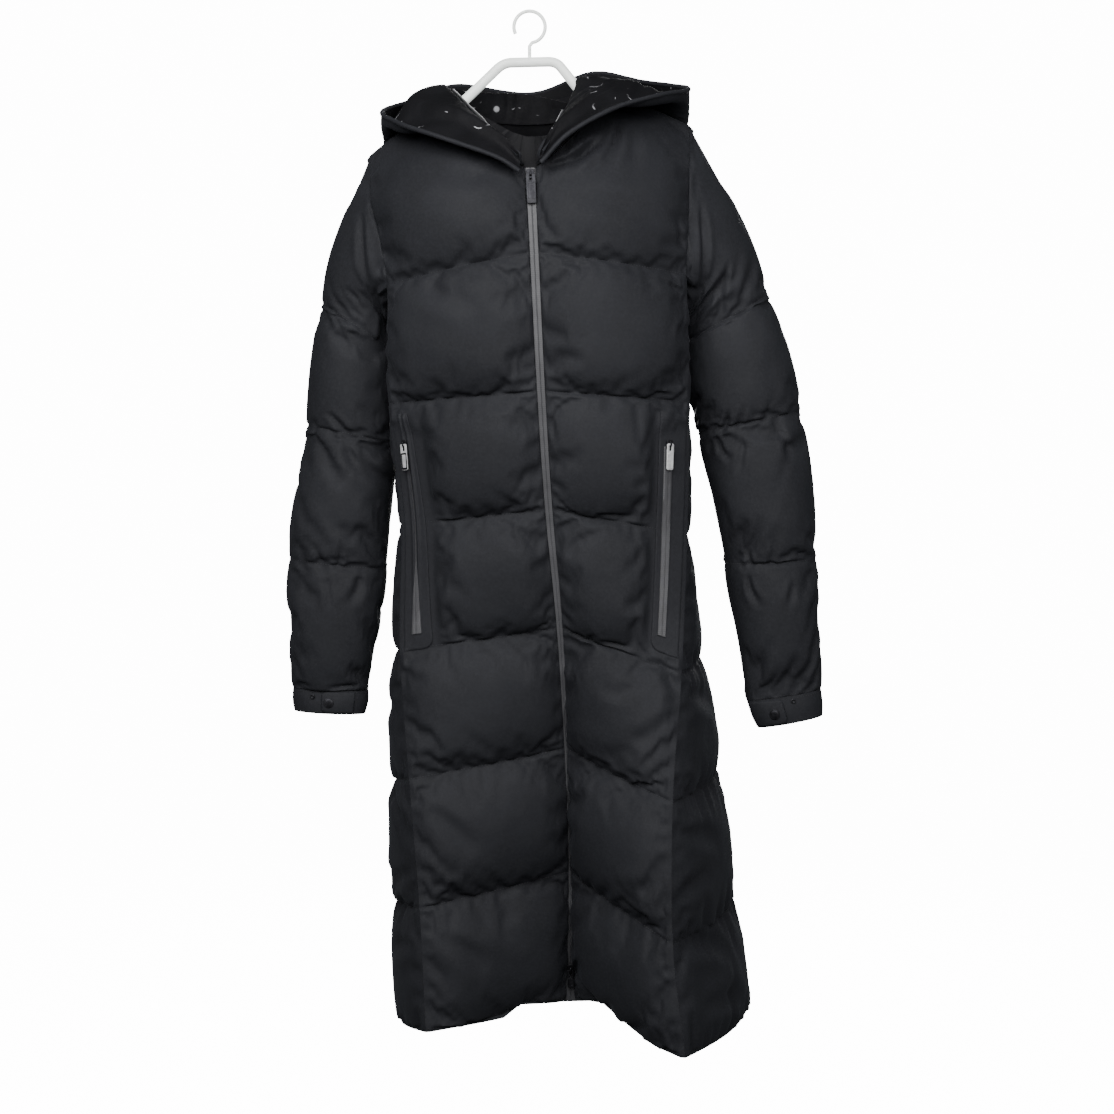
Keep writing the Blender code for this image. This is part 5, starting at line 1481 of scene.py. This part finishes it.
class COAT_OT_hood(bpy.types.Operator):
    """Make the three hood panels and the binding round its mouth"""
    bl_idname = "coat.hood"
    bl_label = "Hood"

    def execute(self, context):
        shares, grid, normal, full = hood_sheet()
        wall = HOOD_WALL * np.clip(HOOD_FOOT + 3 * shares, 0, 1)[:, None] + HOOD_PUFF * full
        for name, (start, end) in HOOD_PANELS.items():
            part = slice(int(start * HOOD_COLUMNS), int(end * HOOD_COLUMNS) + 1)
            base = drawn_in(grid[:, part], False, SEAM_GAP / 2)
            outer = base + normal[:, part] * wall[:, part, None]
            mesh = wall_mesh(name, outer, base, False, 1, Cloth(base))
            made = piece(f"{name}_cloth", mesh, ["matte_shell", "hood_lining"], replaces=name)
        binding = piece("hood_binding", binding_mesh(), ["matte_shell"], replaces="hood_edge")
        return {"FINISHED"}


class COAT_OT_collar(bpy.types.Operator):
    """Make the gathered collar that stands inside the hood"""
    bl_idname = "coat.collar"
    bl_label = "Collar"

    def execute(self, context):
        turn = np.linspace(0, 1, COLLAR_COLUMNS)
        foot = neck_edge(turn, COLLAR_SEAT)
        inward = unit((foot.mean(axis=0) - foot) * (1, 1, 0))
        foot = foot + inward * COLLAR_INSET
        known = [stand.neck for stand in COLLAR_TOP]
        place = np.interp(turn, known, np.arange(len(known)))
        top = smooth([stand.top for stand in COLLAR_TOP], place)
        # Gathers of two lengths, shallow at the foot and free of the front ends
        run = turn * NECK_LENGTH
        wave = 0.6 * ripple(run / 0.0065, 31) + 0.5 * ripple(run / 0.013, 32)
        ends = np.clip(np.minimum(turn, 1 - turn) / 0.02, 0, 1)
        shares = np.linspace(0, 1, COLLAR_ROWS)[:, None]
        depth = 1.6 * GATHER_DEPTH * np.sin(np.pi * np.minimum(shares, 0.8)) * (0.8 + 0.5 * shares)
        lean = wave * ends * depth + 0.0004 * ripple(run / 0.004 + 3 * shares, 33) * ends * shares
        grid = foot + (top - foot) * shares[..., None] + inward * lean[..., None]
        normal = unit(corner_normals(grid, True, 1))
        cloth = Cloth(grid)
        mesh = wall_mesh("inner_collar", grid, grid - normal * COLLAR_WALL, True, 1, cloth)
        for face in mesh.polygons:
            face.material_index = int(face.center.y > COLLAR_BACK)
        made = piece("collar_cloth", mesh, ["smooth_lining", "hood_lining"],
                     replaces="inner_collar")
        return {"FINISHED"}


# Zips and their hardware

def zip_top_line(grid, normal, first, last):
    """An open zip end over the hood's fold, between two sections: its points and
    the ways out of the cloth."""
    folds_at = np.array([section.fold for section in HOOD_SECTIONS])
    rows = np.linspace(0, HOOD_ROWS / 2, 80)
    line = []
    for place in np.linspace(first, last, 26):
        columns = np.full(len(rows), place * HOOD_COLUMNS)
        out = -unit(sample(normal, rows, columns))
        points = sample(grid, rows, columns) + out * (ZIP_END_RADIUS + ZIP_END_LIFT)
        nearest = np.argmin(np.linalg.norm(points - smooth(folds_at, place), axis=1))
        line.append((points[nearest], out[nearest]))
    points, outs = np.array(line).swapaxes(0, 1)
    steps = np.linspace(0, len(points) - 1, 90)
    return smooth(points, steps), unit(smooth(outs, steps))


class COAT_OT_zips(bpy.types.Operator):
    """Make the closed main zip and the two open ends above its slider"""
    bl_idname = "coat.zips"
    bl_label = "Main zip"

    def execute(self, context):
        strip = surfaces()["main_zip"]
        mesh = wall_mesh("main_zip", strip.outer, strip.base, False, strip.turn, strip.cloth)
        piece("main_zip_tape", mesh, ["coated_zip_tape"] * 2, replaces="main_zip")
        _, grid, normal, _ = hood_sheet()
        for side, sections in ZIP_END_SECTIONS.items():
            points, outs = zip_top_line(grid, normal, *sections)
            mesh = tube_mesh(f"zip_top_{side}", points, ZIP_END_RADIUS * 0.8, sides=10)
            piece(f"zip_top_{side}_tape", mesh, ["coated_zip_tape"],
                  replaces=f"zip_top_{side}")
            piece(f"zip_teeth_{side}", teeth_mesh(f"zip_teeth_{side}", points, outs),
                  ["bright_metal"])
        return {"FINISHED"}


def spread(points, outs, pitch):
    """Places every pitch along a chain: middle, way along and way out."""
    run = run_of(points)
    count = max(int(run[-1] / pitch), 1)
    at = (np.arange(count) + 0.5) * run[-1] / count
    middle, way = at_run(points, run, at), unit(at_run(unit(np.gradient(points, axis=0)), run, at))
    out = unit(at_run(outs, run, at))
    return middle, way, unit(out - way * (out * way).sum(axis=1)[:, None])


def teeth_mesh(name, points, outs):
    """Small blocks along a chain."""
    middle, way, out = spread(points, outs, TOOTH_PITCH)
    middle = middle + out * ZIP_END_RADIUS * 0.75
    axes = np.stack([way, np.cross(way, out), out], axis=1) * np.array(TOOTH)[:, None]
    corners = np.array([(x, y, z) for x in (-1, 1) for y in (-1, 1) for z in (-1, 1)]) / 2
    points = (middle[:, None] + corners @ axes).reshape(-1, 3)
    box = np.array([(0, 1, 3, 2), (4, 6, 7, 5), (0, 4, 5, 1), (2, 3, 7, 6), (0, 2, 6, 4),
                    (1, 5, 7, 3)])
    faces = (np.arange(len(middle))[:, None, None] * 8 + box).reshape(-1, 4)
    return turned_out(mesh_from(name, points, faces.tolist()))


def slider_places(slider, pull):
    """Frames of a slider and of its pull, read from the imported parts.

    A slider's frame has X across, -Y out of the coat and Z up its zip.
    """
    joint = next(joint for joint in frame["joints"] if joint["child"] == pull)
    pivot, across = Vector(joint["pos_m"]), -Vector(joint["axis"]).normalized()
    # The slider's plate is its largest flat that lies along the pull's axis
    areas = {}
    for face in bpy.data.objects[slider].data.polygons:
        way = tuple(round(part, 2) for part in face.normal)
        areas[way] = areas.get(way, 0) + face.area
    flat = [way for way in areas if abs(Vector(way).dot(across)) < 0.1]
    out = -Vector(max(flat, key=areas.get)).normalized()
    up = out.cross(across).normalized()
    if up.z < 0:
        up.negate()
    out = across.cross(up)
    if out.y > 0:
        out.negate()
    turn = Matrix([across, -out, up]).transposed().to_4x4()
    back = pivot - out * (SLIDER_PLATE + BAR_HEIGHT) + up * BAR_DROP
    lean = max(0.0, math.atan2(-out.z, up.z))
    return (Matrix.Translation(back) @ turn,
            Matrix.Translation(pivot) @ turn @ Matrix.Rotation(-lean, 4, "X"))


def plate_mesh(name, outlines, thickness, bevel, depth=0.0):
    """A flat plate in X and Z with holes and rounded edges, its middle at -depth."""
    curve = bpy.data.curves.new(name, "CURVE")
    curve.dimensions, curve.fill_mode = "2D", "BOTH"
    curve.extrude = thickness / 2 - bevel
    curve.bevel_depth, curve.bevel_resolution = bevel, 2
    for outline in outlines:
        spline = curve.splines.new("POLY")
        spline.points.add(len(outline) - 1)
        spline.use_cyclic_u = True
        for point, (x, z) in zip(spline.points, outline):
            point.co = (x, z, 0, 1)
    holder = bpy.data.objects.new(name, curve)
    bpy.context.scene.collection.objects.link(holder)
    bpy.context.view_layer.update()
    mesh = bpy.data.meshes.new_from_object(
        holder.evaluated_get(bpy.context.evaluated_depsgraph_get()))
    bpy.data.objects.remove(holder)
    bpy.data.curves.remove(curve)
    mesh.transform(Matrix.Translation((0, -depth, 0)) @ Matrix.Rotation(math.pi / 2, 4, "X"))
    work = bmesh.new()
    work.from_mesh(mesh)
    bmesh.ops.remove_doubles(work, verts=work.verts, dist=1e-6)
    work.to_mesh(mesh)
    work.free()
    return shaded(mesh, METAL_SHARP)


def rounded_box(width, low, high, corner, taper=1.0, steps=5):
    """Outline of a plate with rounded corners; taper scales its lower end."""
    points = []
    for x, z, start in ((1, high, 0), (-1, high, 90), (-1, low, 180), (1, low, 270)):
        half = width / 2 * (taper if z == low else 1.0)
        cx, cz = x * (half - corner), z - corner if z == high else z + corner
        for angle in np.radians(np.linspace(start, start + 90, steps)):
            points.append((cx + corner * math.cos(angle), cz + corner * math.sin(angle)))
    return points


def joined(name, meshes):
    """One mesh out of several."""
    work = bmesh.new()
    for mesh in meshes:
        work.from_mesh(mesh)
    made = bpy.data.meshes.new(name)
    work.to_mesh(made)
    work.free()
    for mesh in meshes:
        bpy.data.meshes.remove(mesh)
    made.set_sharp_from_angle(angle=math.radians(METAL_SHARP))
    return made


def slider_mesh(name, size):
    """A slider's body, its flange and the bridge that holds the pull."""
    parts = []
    for plate in SLIDER_PLATES:
        low, high = plate.low * size.plate_height, plate.high * size.plate_height
        outline = rounded_box(size.plate_width * plate.width, low, high, plate.corner, plate.taper)
        parts.append(plate_mesh("plate", [outline], SLIDER_PLATE * plate.thickness, plate.bevel,
                                SLIDER_PLATE * plate.depth))
    foot = -SLIDER_PLATE * 0.9
    top = -SLIDER_PLATE - BRIDGE_RISE + BRIDGE_WALL / 2
    reach = BRIDGE_HALF - BRIDGE_WALL / 2
    half = [(0, foot, reach), (0, top * 0.86, reach), (0, top, reach * 0.72)]
    path = np.array([*half, (0, top, 0), *((x, y, -z) for x, y, z in half[::-1])])
    parts.append(tube_mesh("strap", path, BRIDGE_WALL / 2, sides=10, flat=2.6,
                           up=(0, 1, 0.01)))
    return joined(name, parts)


def pull_mesh(name, size, dark_part):
    """A pull tab with a slot for the bridge and a raised rim.

    Its rim or its end can be of the second, darker metal.
    """
    width, low = size.pull_width, BAR / 2 - size.pull_length
    slot_foot = -BAR / 2 - SLOT_LENGTH
    rim_top = slot_foot - PULL_RIM_GAP
    parts = [
        plate_mesh("plate", [rounded_box(width, low, BAR / 2, 0.0018, 0.96),
                             rounded_box(SLOT_WIDTH, slot_foot, -BAR / 2, 0.0009)[::-1]],
                   BAR, 0.0003),
        plate_mesh("rim", [rounded_box(width * 0.94, low * 0.985, rim_top, 0.0014, 0.96),
                           rounded_box(width * 0.66, low + 0.0024, rim_top - 0.0016, 0.0010,
                                       0.94)[::-1]], BAR * 1.28, 0.0002)]
    if dark_part == "end":
        parts.append(plate_mesh("end", [rounded_box(width * 0.97, low * 1.003, low * 0.84, 0.0012,
                                                    0.97)], BAR * 1.4, 0.0002))
    counts = [len(part.polygons) for part in parts]
    dark_from = {"rim": counts[0], "end": sum(counts[:2])}.get(dark_part, sum(counts))
    made = joined(name, parts)
    for face in made.polygons:
        face.material_index = int(face.index >= dark_from)
    return made


class COAT_OT_sliders(bpy.types.Operator):
    """Make the sliders and the pull tabs that hang in them"""
    bl_idname = "coat.sliders"
    bl_label = "Sliders and pulls"

    def execute(self, context):
        for slider, pull, size, look_name, dark_part in SLIDERS:
            at, hung = slider_places(slider, pull)
            mesh = slider_mesh(slider, size)
            mesh.transform(at)
            piece(f"{slider}_body", mesh, ["gunmetal"], replaces=slider)
            mesh = pull_mesh(pull, size, dark_part)
            mesh.transform(hung)
            piece(f"{pull}_tab", mesh, [look_name, "black_metal"], body=pull, replaces=pull)
        return {"FINISHED"}


# Pockets, cuff tabs and stitching

def row_at(surface, column, height):
    """Fractional rows at which one column of a panel passes the heights."""
    line = surface.outer[:, int(round(column)), 2]
    return np.interp(height, line, np.arange(len(line)))


def front_column(share):
    """The fractional column of a front at a share of its width."""
    return np.interp(share, FRONT, np.arange(len(FRONT)))


def facing_edge(side, height):
    """Where a pocket's facing starts across its front."""
    pocket = POCKETS[side]
    share = (height - FACING_BOTTOM) / (FACING_TOP - FACING_BOTTOM)
    inner = pocket.facing_bottom + (pocket.facing_top - pocket.facing_bottom) * share
    rise = np.clip((height - FACING_BOTTOM) / CORNER_RADIUS, 0, 1)
    return inner + (1 - np.sqrt(1 - (1 - rise) ** 2)) * CORNER_RADIUS / FRONT_WIDTH


def zip_shown(side, height):
    """Share of a pocket zip's width that shows between its facing's lips."""
    return np.interp(height, *zip(*POCKET_SHOWN[side]))[:, None]


def pocket_facing(side, surface, middle):
    """The flat facing, with lips that close over the zip; its mesh and cloth."""
    corner = np.linspace(0, FACING_CORNER, 14)
    climb = np.concatenate([corner[:-1], np.linspace(FACING_CORNER, 1, 70)])
    height = FACING_BOTTOM + (FACING_TOP - FACING_BOTTOM) * climb
    inner = facing_edge(side, height)[:, None]
    shares = inner + (FACING_OUTER - inner) * np.linspace(0, 1, 36)
    rows = np.broadcast_to(row_at(surface, middle, height)[:, None], shares.shape)
    aside = np.abs(shares - POCKETS[side].zip) * FRONT_WIDTH
    lips = (1 - zip_shown(side, height)) * np.exp(-((aside - LIP_APART) / LIP_WIDTH) ** 2)
    return overlay(f"pocket_facing_{side}", surface, rows, front_column(shares), REST_GAP,
                   FACING_WALL + LIP_RISE * lips)


def pocket_zip(side, surface, middle):
    """The strip of a pocket's zip, over its facing."""
    height = np.linspace(POCKET_BOTTOM, POCKET_TOP, 80)
    shown = zip_shown(side, height)
    places, rises = np.array(POCKET_ZIP_PROFILE).T
    shares = POCKETS[side].zip + POCKET_ZIP_WIDTH / 2 / FRONT_WIDTH * shown * places
    rows = np.broadcast_to(row_at(surface, middle, height)[:, None], shares.shape)
    low, out = over(surface, rows, front_column(shares), REST_GAP + FACING_WALL + SEAM_GAP)
    wall = TAPE_WALL * rises * (0.4 + 0.6 * shown)
    return wall_mesh(f"pocket_zip_{side}", low + out * wall[..., None], low, False, surface.turn,
                     Cloth(low))


class COAT_OT_pockets(bpy.types.Operator):
    """Make the flat pocket facings and their zips"""
    bl_idname = "coat.pockets"
    bl_label = "Pockets"

    def execute(self, context):
        for side in TURNS:
            surface = surfaces()[f"front_{side}"]
            middle = front_column(POCKETS[side].zip)
            mesh, cloth = pocket_facing(side, surface, middle)
            made = piece(f"pocket_facing_{side}_cloth", mesh, ["matte_shell"] * 2,
                         replaces=f"pocket_facing_{side}")
            piece(f"pocket_zip_{side}_tape", pocket_zip(side, surface, middle),
                  ["coated_zip_tape"] * 2, replaces=f"pocket_zip_{side}")
        return {"FINISHED"}


def cuff_column(cosine):
    """The fractional column of a cuff at a cosine round it."""
    angles = ring_angles()
    return float(np.interp(math.acos(cosine), angles, np.arange(len(angles))))


def cuff_tab(side, surface):
    """A strap round part of a cuff, with one round end; its mesh and cloth."""
    ends = sorted(cuff_column(cosine) for cosine in TABS[side][:2])
    columns = np.linspace(*ends, 40)
    round_end = np.clip((columns - columns[0]) / TAB_ROUND_COLUMNS, 0, 1)
    inset = TAB_ROUND_INSET * (1 - np.sqrt(1 - (1 - round_end) ** 2))
    share = np.linspace(0, 1, 16)[:, None]
    last = len(surface.outer) - 1
    rows = last * (TAB_MARGIN + inset + (1 - 2 * TAB_MARGIN - 2 * inset) * share)
    return overlay(f"cuff_tab_{side}", surface, rows, np.broadcast_to(columns, rows.shape),
                   REST_GAP, TAB_WALL)


def cap_mesh(name, radius, surface, place, lift):
    """A turned cap on a cuff; its place is a cosine round it and a share up it."""
    cosine, height = place
    row = (len(surface.outer) - 1) * (1 - height)
    point, out = over(surface, np.array([row]), np.array([cuff_column(cosine)]), lift)
    profile = np.array(CAP_PROFILES[name]) * (radius, DISC_HEIGHT)
    angles = np.linspace(0, 2 * np.pi, CAP_SIDES, endpoint=False)
    rings = [(width * np.cos(angle), width * np.sin(angle), rise)
             for width, rise in profile[:-1] for angle in angles]
    points = [(0, 0, 0), *rings, (0, 0, profile[-1][1])]
    number = 1 + np.arange(len(rings)).reshape(-1, CAP_SIDES)
    after = np.roll(number, -1, axis=1)
    faces = quads(number[:-1], after[:-1], after[1:], number[1:]).tolist()
    faces += [(0, b, a) for a, b in zip(number[0].tolist(), after[0].tolist())]
    faces += [(a, b, len(points) - 1) for a, b in zip(number[-1].tolist(), after[-1].tolist())]
    mesh = mesh_from(name, points, faces, sharp=30)
    turn = Vector(out[0]).to_track_quat("Z", "Y").to_matrix().to_4x4()
    mesh.transform(Matrix.Translation(Vector(point[0])) @ turn)
    return mesh


class COAT_OT_cuff_tabs(bpy.types.Operator):
    """Make the cuff tabs with their snap caps and studs"""
    bl_idname = "coat.cuff_tabs"
    bl_label = "Cuff tabs"

    def execute(self, context):
        for side in TURNS:
            tab, surface = TABS[side], surfaces()[f"cuff_{side}"]
            mesh, cloth = cuff_tab(side, surface)
            made = piece(f"cuff_tab_{side}_cloth", mesh, ["matte_shell"] * 2,
                         replaces=f"cuff_tab_{side}")
            for name, place, radius, lift in (
                    ("snap", tab.snap, SNAP_RADIUS, 2 * REST_GAP + TAB_WALL),
                    ("stud", tab.stud, STUD_RADIUS, REST_GAP)):
                piece(f"cuff_{name}_{side}_cap", cap_mesh(name, radius, surface, place, lift),
                      ["gunmetal"], replaces=f"cuff_{name}_{side}")
        return {"FINISHED"}


def stitch_mesh(name, chains, pitch):
    """Short pointed stitches along chains of (points, ways out)."""
    middle, way, out = (np.concatenate(parts) for parts in zip(
        *(spread(points, outs, pitch) for points, outs in chains)))
    side = np.cross(way, out)
    corners = np.stack([middle - way * STITCH_HALF * pitch, middle + way * STITCH_HALF * pitch,
                        middle + side * THREAD_RADIUS, middle - side * THREAD_RADIUS,
                        middle + out * THREAD_RADIUS, middle - out * THREAD_RADIUS], axis=1)
    shell = np.array([(0, 2, 4), (0, 4, 3), (0, 3, 5), (0, 5, 2), (1, 4, 2), (1, 3, 4), (1, 5, 3),
                      (1, 2, 5)])
    faces = (np.arange(len(middle))[:, None, None] * 6 + shell).reshape(-1, 3)
    return mesh_from(name, corners.reshape(-1, 3), faces.tolist(), sharp=80)


def seam_line(surface, row=None, column=None, margin=0.0, count=260):
    """A chain over a panel along one row or one column; margin is left out at
    both ends."""
    rows, columns = surface.outer.shape[:2]
    share = np.linspace(margin, 1 - margin, count)
    if column is None:
        at = np.full(count, float(row)), share * (columns - 1)
    else:
        at = share * (rows - 1), np.full(count, float(column))
    return over(surface, *at, STITCH_LIFT)


def seams_of(name, surface):
    """The stitched lines of one panel."""
    if name.startswith("cuff"):
        last = len(surface.outer) - 1
        return [seam_line(surface, last * share) for share in CUFF_SEAMS]
    if name.startswith("sleeve"):
        rows = [*SLEEVE_SEAM_ROWS[1:-1], SLEEVE_SEAM_ROWS[-1] - ABOVE_CUFF]
        return [seam_line(surface, row) for row in rows]
    chains = [seam_line(surface, row, margin=SEAM_MARGIN) for row in [*SEAM_ROWS[1:], HEM_ROW]]
    if name.startswith("front"):
        chains.append(seam_line(surface, column=BESIDE_ZIP, count=700))
    return chains


class COAT_OT_stitching(bpy.types.Operator):
    """Sew the seams, the hem, the edges beside the zip and the cuffs"""
    bl_idname = "coat.stitching"
    bl_label = "Stitching"

    def execute(self, context):
        for name, surface in surfaces().items():
            if name != "main_zip":
                mesh = stitch_mesh(name, seams_of(name, surface), context.scene.coat.stitch)
                piece(f"{name}_stitching", mesh, ["sewing_thread"])
        return {"FINISHED"}


# Hanger and stage

def rounded_chain(chain, corner, steps=9):
    """The chain with each bend replaced by a smooth curve."""
    points = [chain[0]]
    for before, bend, after in zip(chain[:-2], chain[1:-1], chain[2:]):
        start, end = bend + (before - bend) * corner, bend + (after - bend) * corner
        for t in np.linspace(0, 1, steps):
            points.append((1 - t) ** 2 * start + 2 * t * (1 - t) * bend + t * t * end)
    return np.array(points + [chain[-1]])


class COAT_OT_hanger(bpy.types.Operator):
    """Make the plain hanger and its hook"""
    bl_idname = "coat.hanger"
    bl_label = "Hanger"

    def execute(self, context):
        arms = {}
        for side in TURNS:
            seam = along(SHOULDER[side], np.linspace(HANGER_START, HANGER_REACH, 14))
            arms[side] = seam - np.outer(np.linspace(*HANGER_DROP, 14), (0, 0, 1))
        chain = rounded_chain(np.concatenate([arms["left"][::-1], HANGER_TOP, arms["right"]]),
                              HANGER_CORNER)
        radius = np.full(len(chain), HANGER_RADIUS)
        radius[[0, -1]] *= HANGER_TIP
        piece("hanger_bar_moulding", tube_mesh("hanger_bar", chain, radius, sides=24),
              ["white_plastic"], replaces="hanger_bar")
        bend = HOOK_BEND + HOOK_RADIUS
        circle = [(bend * math.cos(a), 0.0, bend * math.sin(a) - HOOK_BEND)
                  for a in np.radians(np.linspace(*HOOK_TURN, 60))]
        foot = (HANGER_TOP[1][2] + HANGER_TOP[2][2]) / 2 + HANGER_RADIUS + SEAM_GAP
        chain = [(0.0, 0.0, foot), (0.0, 0.0, -HOOK_BEND - bend - HOOK_STEM), *circle]
        mesh = tube_mesh("hanger_hook", chain, HOOK_RADIUS, up=(0, 1, 0))
        piece("hanger_hook_rod", mesh, ["white_plastic"], replaces="hanger_hook")
        return {"FINISHED"}


class StageSettings(bpy.types.PropertyGroup):
    """Floor and light."""
    floor: FloatProperty(
        name="Floor", description="Height of the studio floor", default=-1.60, unit="LENGTH")
    surround: FloatProperty(
        name="Surround", description="Strength of the even light from all sides", default=0.12)


class COAT_OT_stage(bpy.types.Operator):
    """Make the backdrop, the soft lights and the camera"""
    bl_idname = "coat.stage"
    bl_label = "Stage"

    def execute(self, context):
        stage = context.scene.coat_stage
        far, bend = BACKDROP_FAR, BACKDROP_BEND
        turns = np.radians(np.linspace(0, 90, 16))
        sweep = [(BACKDROP_NEAR, stage.floor), (far, stage.floor),
                 *((far + bend * math.sin(a), stage.floor + bend - bend * math.cos(a))
                   for a in turns), (far + bend, BACKDROP_TOP)]
        points = [(x, y, z) for y, z in sweep for x in (-BACKDROP_HALF, BACKDROP_HALF)]
        faces = [(2 * k, 2 * k + 1, 2 * k + 3, 2 * k + 2) for k in range(len(sweep) - 1)]
        mesh = mesh_from("backdrop", points, faces, sharp=180)
        mesh.materials.append(look("pale_backdrop"))
        paper = placed("backdrop", mesh)
        paper.visible_diffuse = paper.visible_glossy = False
        for name, place, aim, size, power in LIGHTS:
            data = bpy.data.lights.new(name, "AREA")
            data.shape, data.size, data.energy = "DISK", size, power
            aim = Vector(aim) - Vector(place)
            placed(name, data, place, aim.to_track_quat("-Z", "Y").to_euler())
        world = bpy.data.worlds.new("studio")
        world.use_nodes = True
        shade = world.node_tree.nodes["Background"]
        shade.inputs["Color"].default_value = SURROUND_COLOUR
        shade.inputs["Strength"].default_value = stage.surround
        context.scene.world = world
        data = bpy.data.cameras.new("camera")
        data.lens, data.sensor_width = LENS, SENSOR_WIDTH
        tilt = (math.radians(90 - CAMERA_TILT), 0, 0)
        context.scene.camera = placed("camera", data, CAMERA_PLACE, tilt)
        return {"FINISHED"}


def placed(name, data, location=(0, 0, 0), rotation=(0, 0, 0)):
    """A new object of the scene that belongs to no piece."""
    made = bpy.data.objects.new(name, data)
    made.location, made.rotation_euler = location, rotation
    bpy.context.scene.collection.objects.link(made)
    return made


OPERATORS = (COAT_OT_body, COAT_OT_sleeves, COAT_OT_hood, COAT_OT_collar, COAT_OT_zips,
             COAT_OT_pockets, COAT_OT_cuff_tabs, COAT_OT_sliders, COAT_OT_stitching,
             COAT_OT_hanger, COAT_OT_stage)


class COAT_PT_panel(bpy.types.Panel):
    """Lists the pieces of the coat"""
    bl_idname = "COAT_PT_panel"
    bl_label = "Coat"
    bl_space_type = "VIEW_3D"
    bl_region_type = "UI"
    bl_category = "Coat"

    def draw(self, context):
        for operator in OPERATORS:
            self.layout.operator(operator.bl_idname)


CLASSES = (Settings, StageSettings, *OPERATORS, COAT_PT_panel)


def register():
    for made in CLASSES:
        bpy.utils.register_class(made)
    bpy.types.Scene.coat = PointerProperty(type=Settings)
    bpy.types.Scene.coat_stage = PointerProperty(type=StageSettings)


def unregister():
    del bpy.types.Scene.coat
    del bpy.types.Scene.coat_stage
    for made in reversed(CLASSES):
        bpy.utils.unregister_class(made)


def main():
    register()
    for operator in OPERATORS:
        group, name = operator.bl_idname.split(".")
        getattr(getattr(bpy.ops, group), name)()


if __name__ == "__main__":
    main()
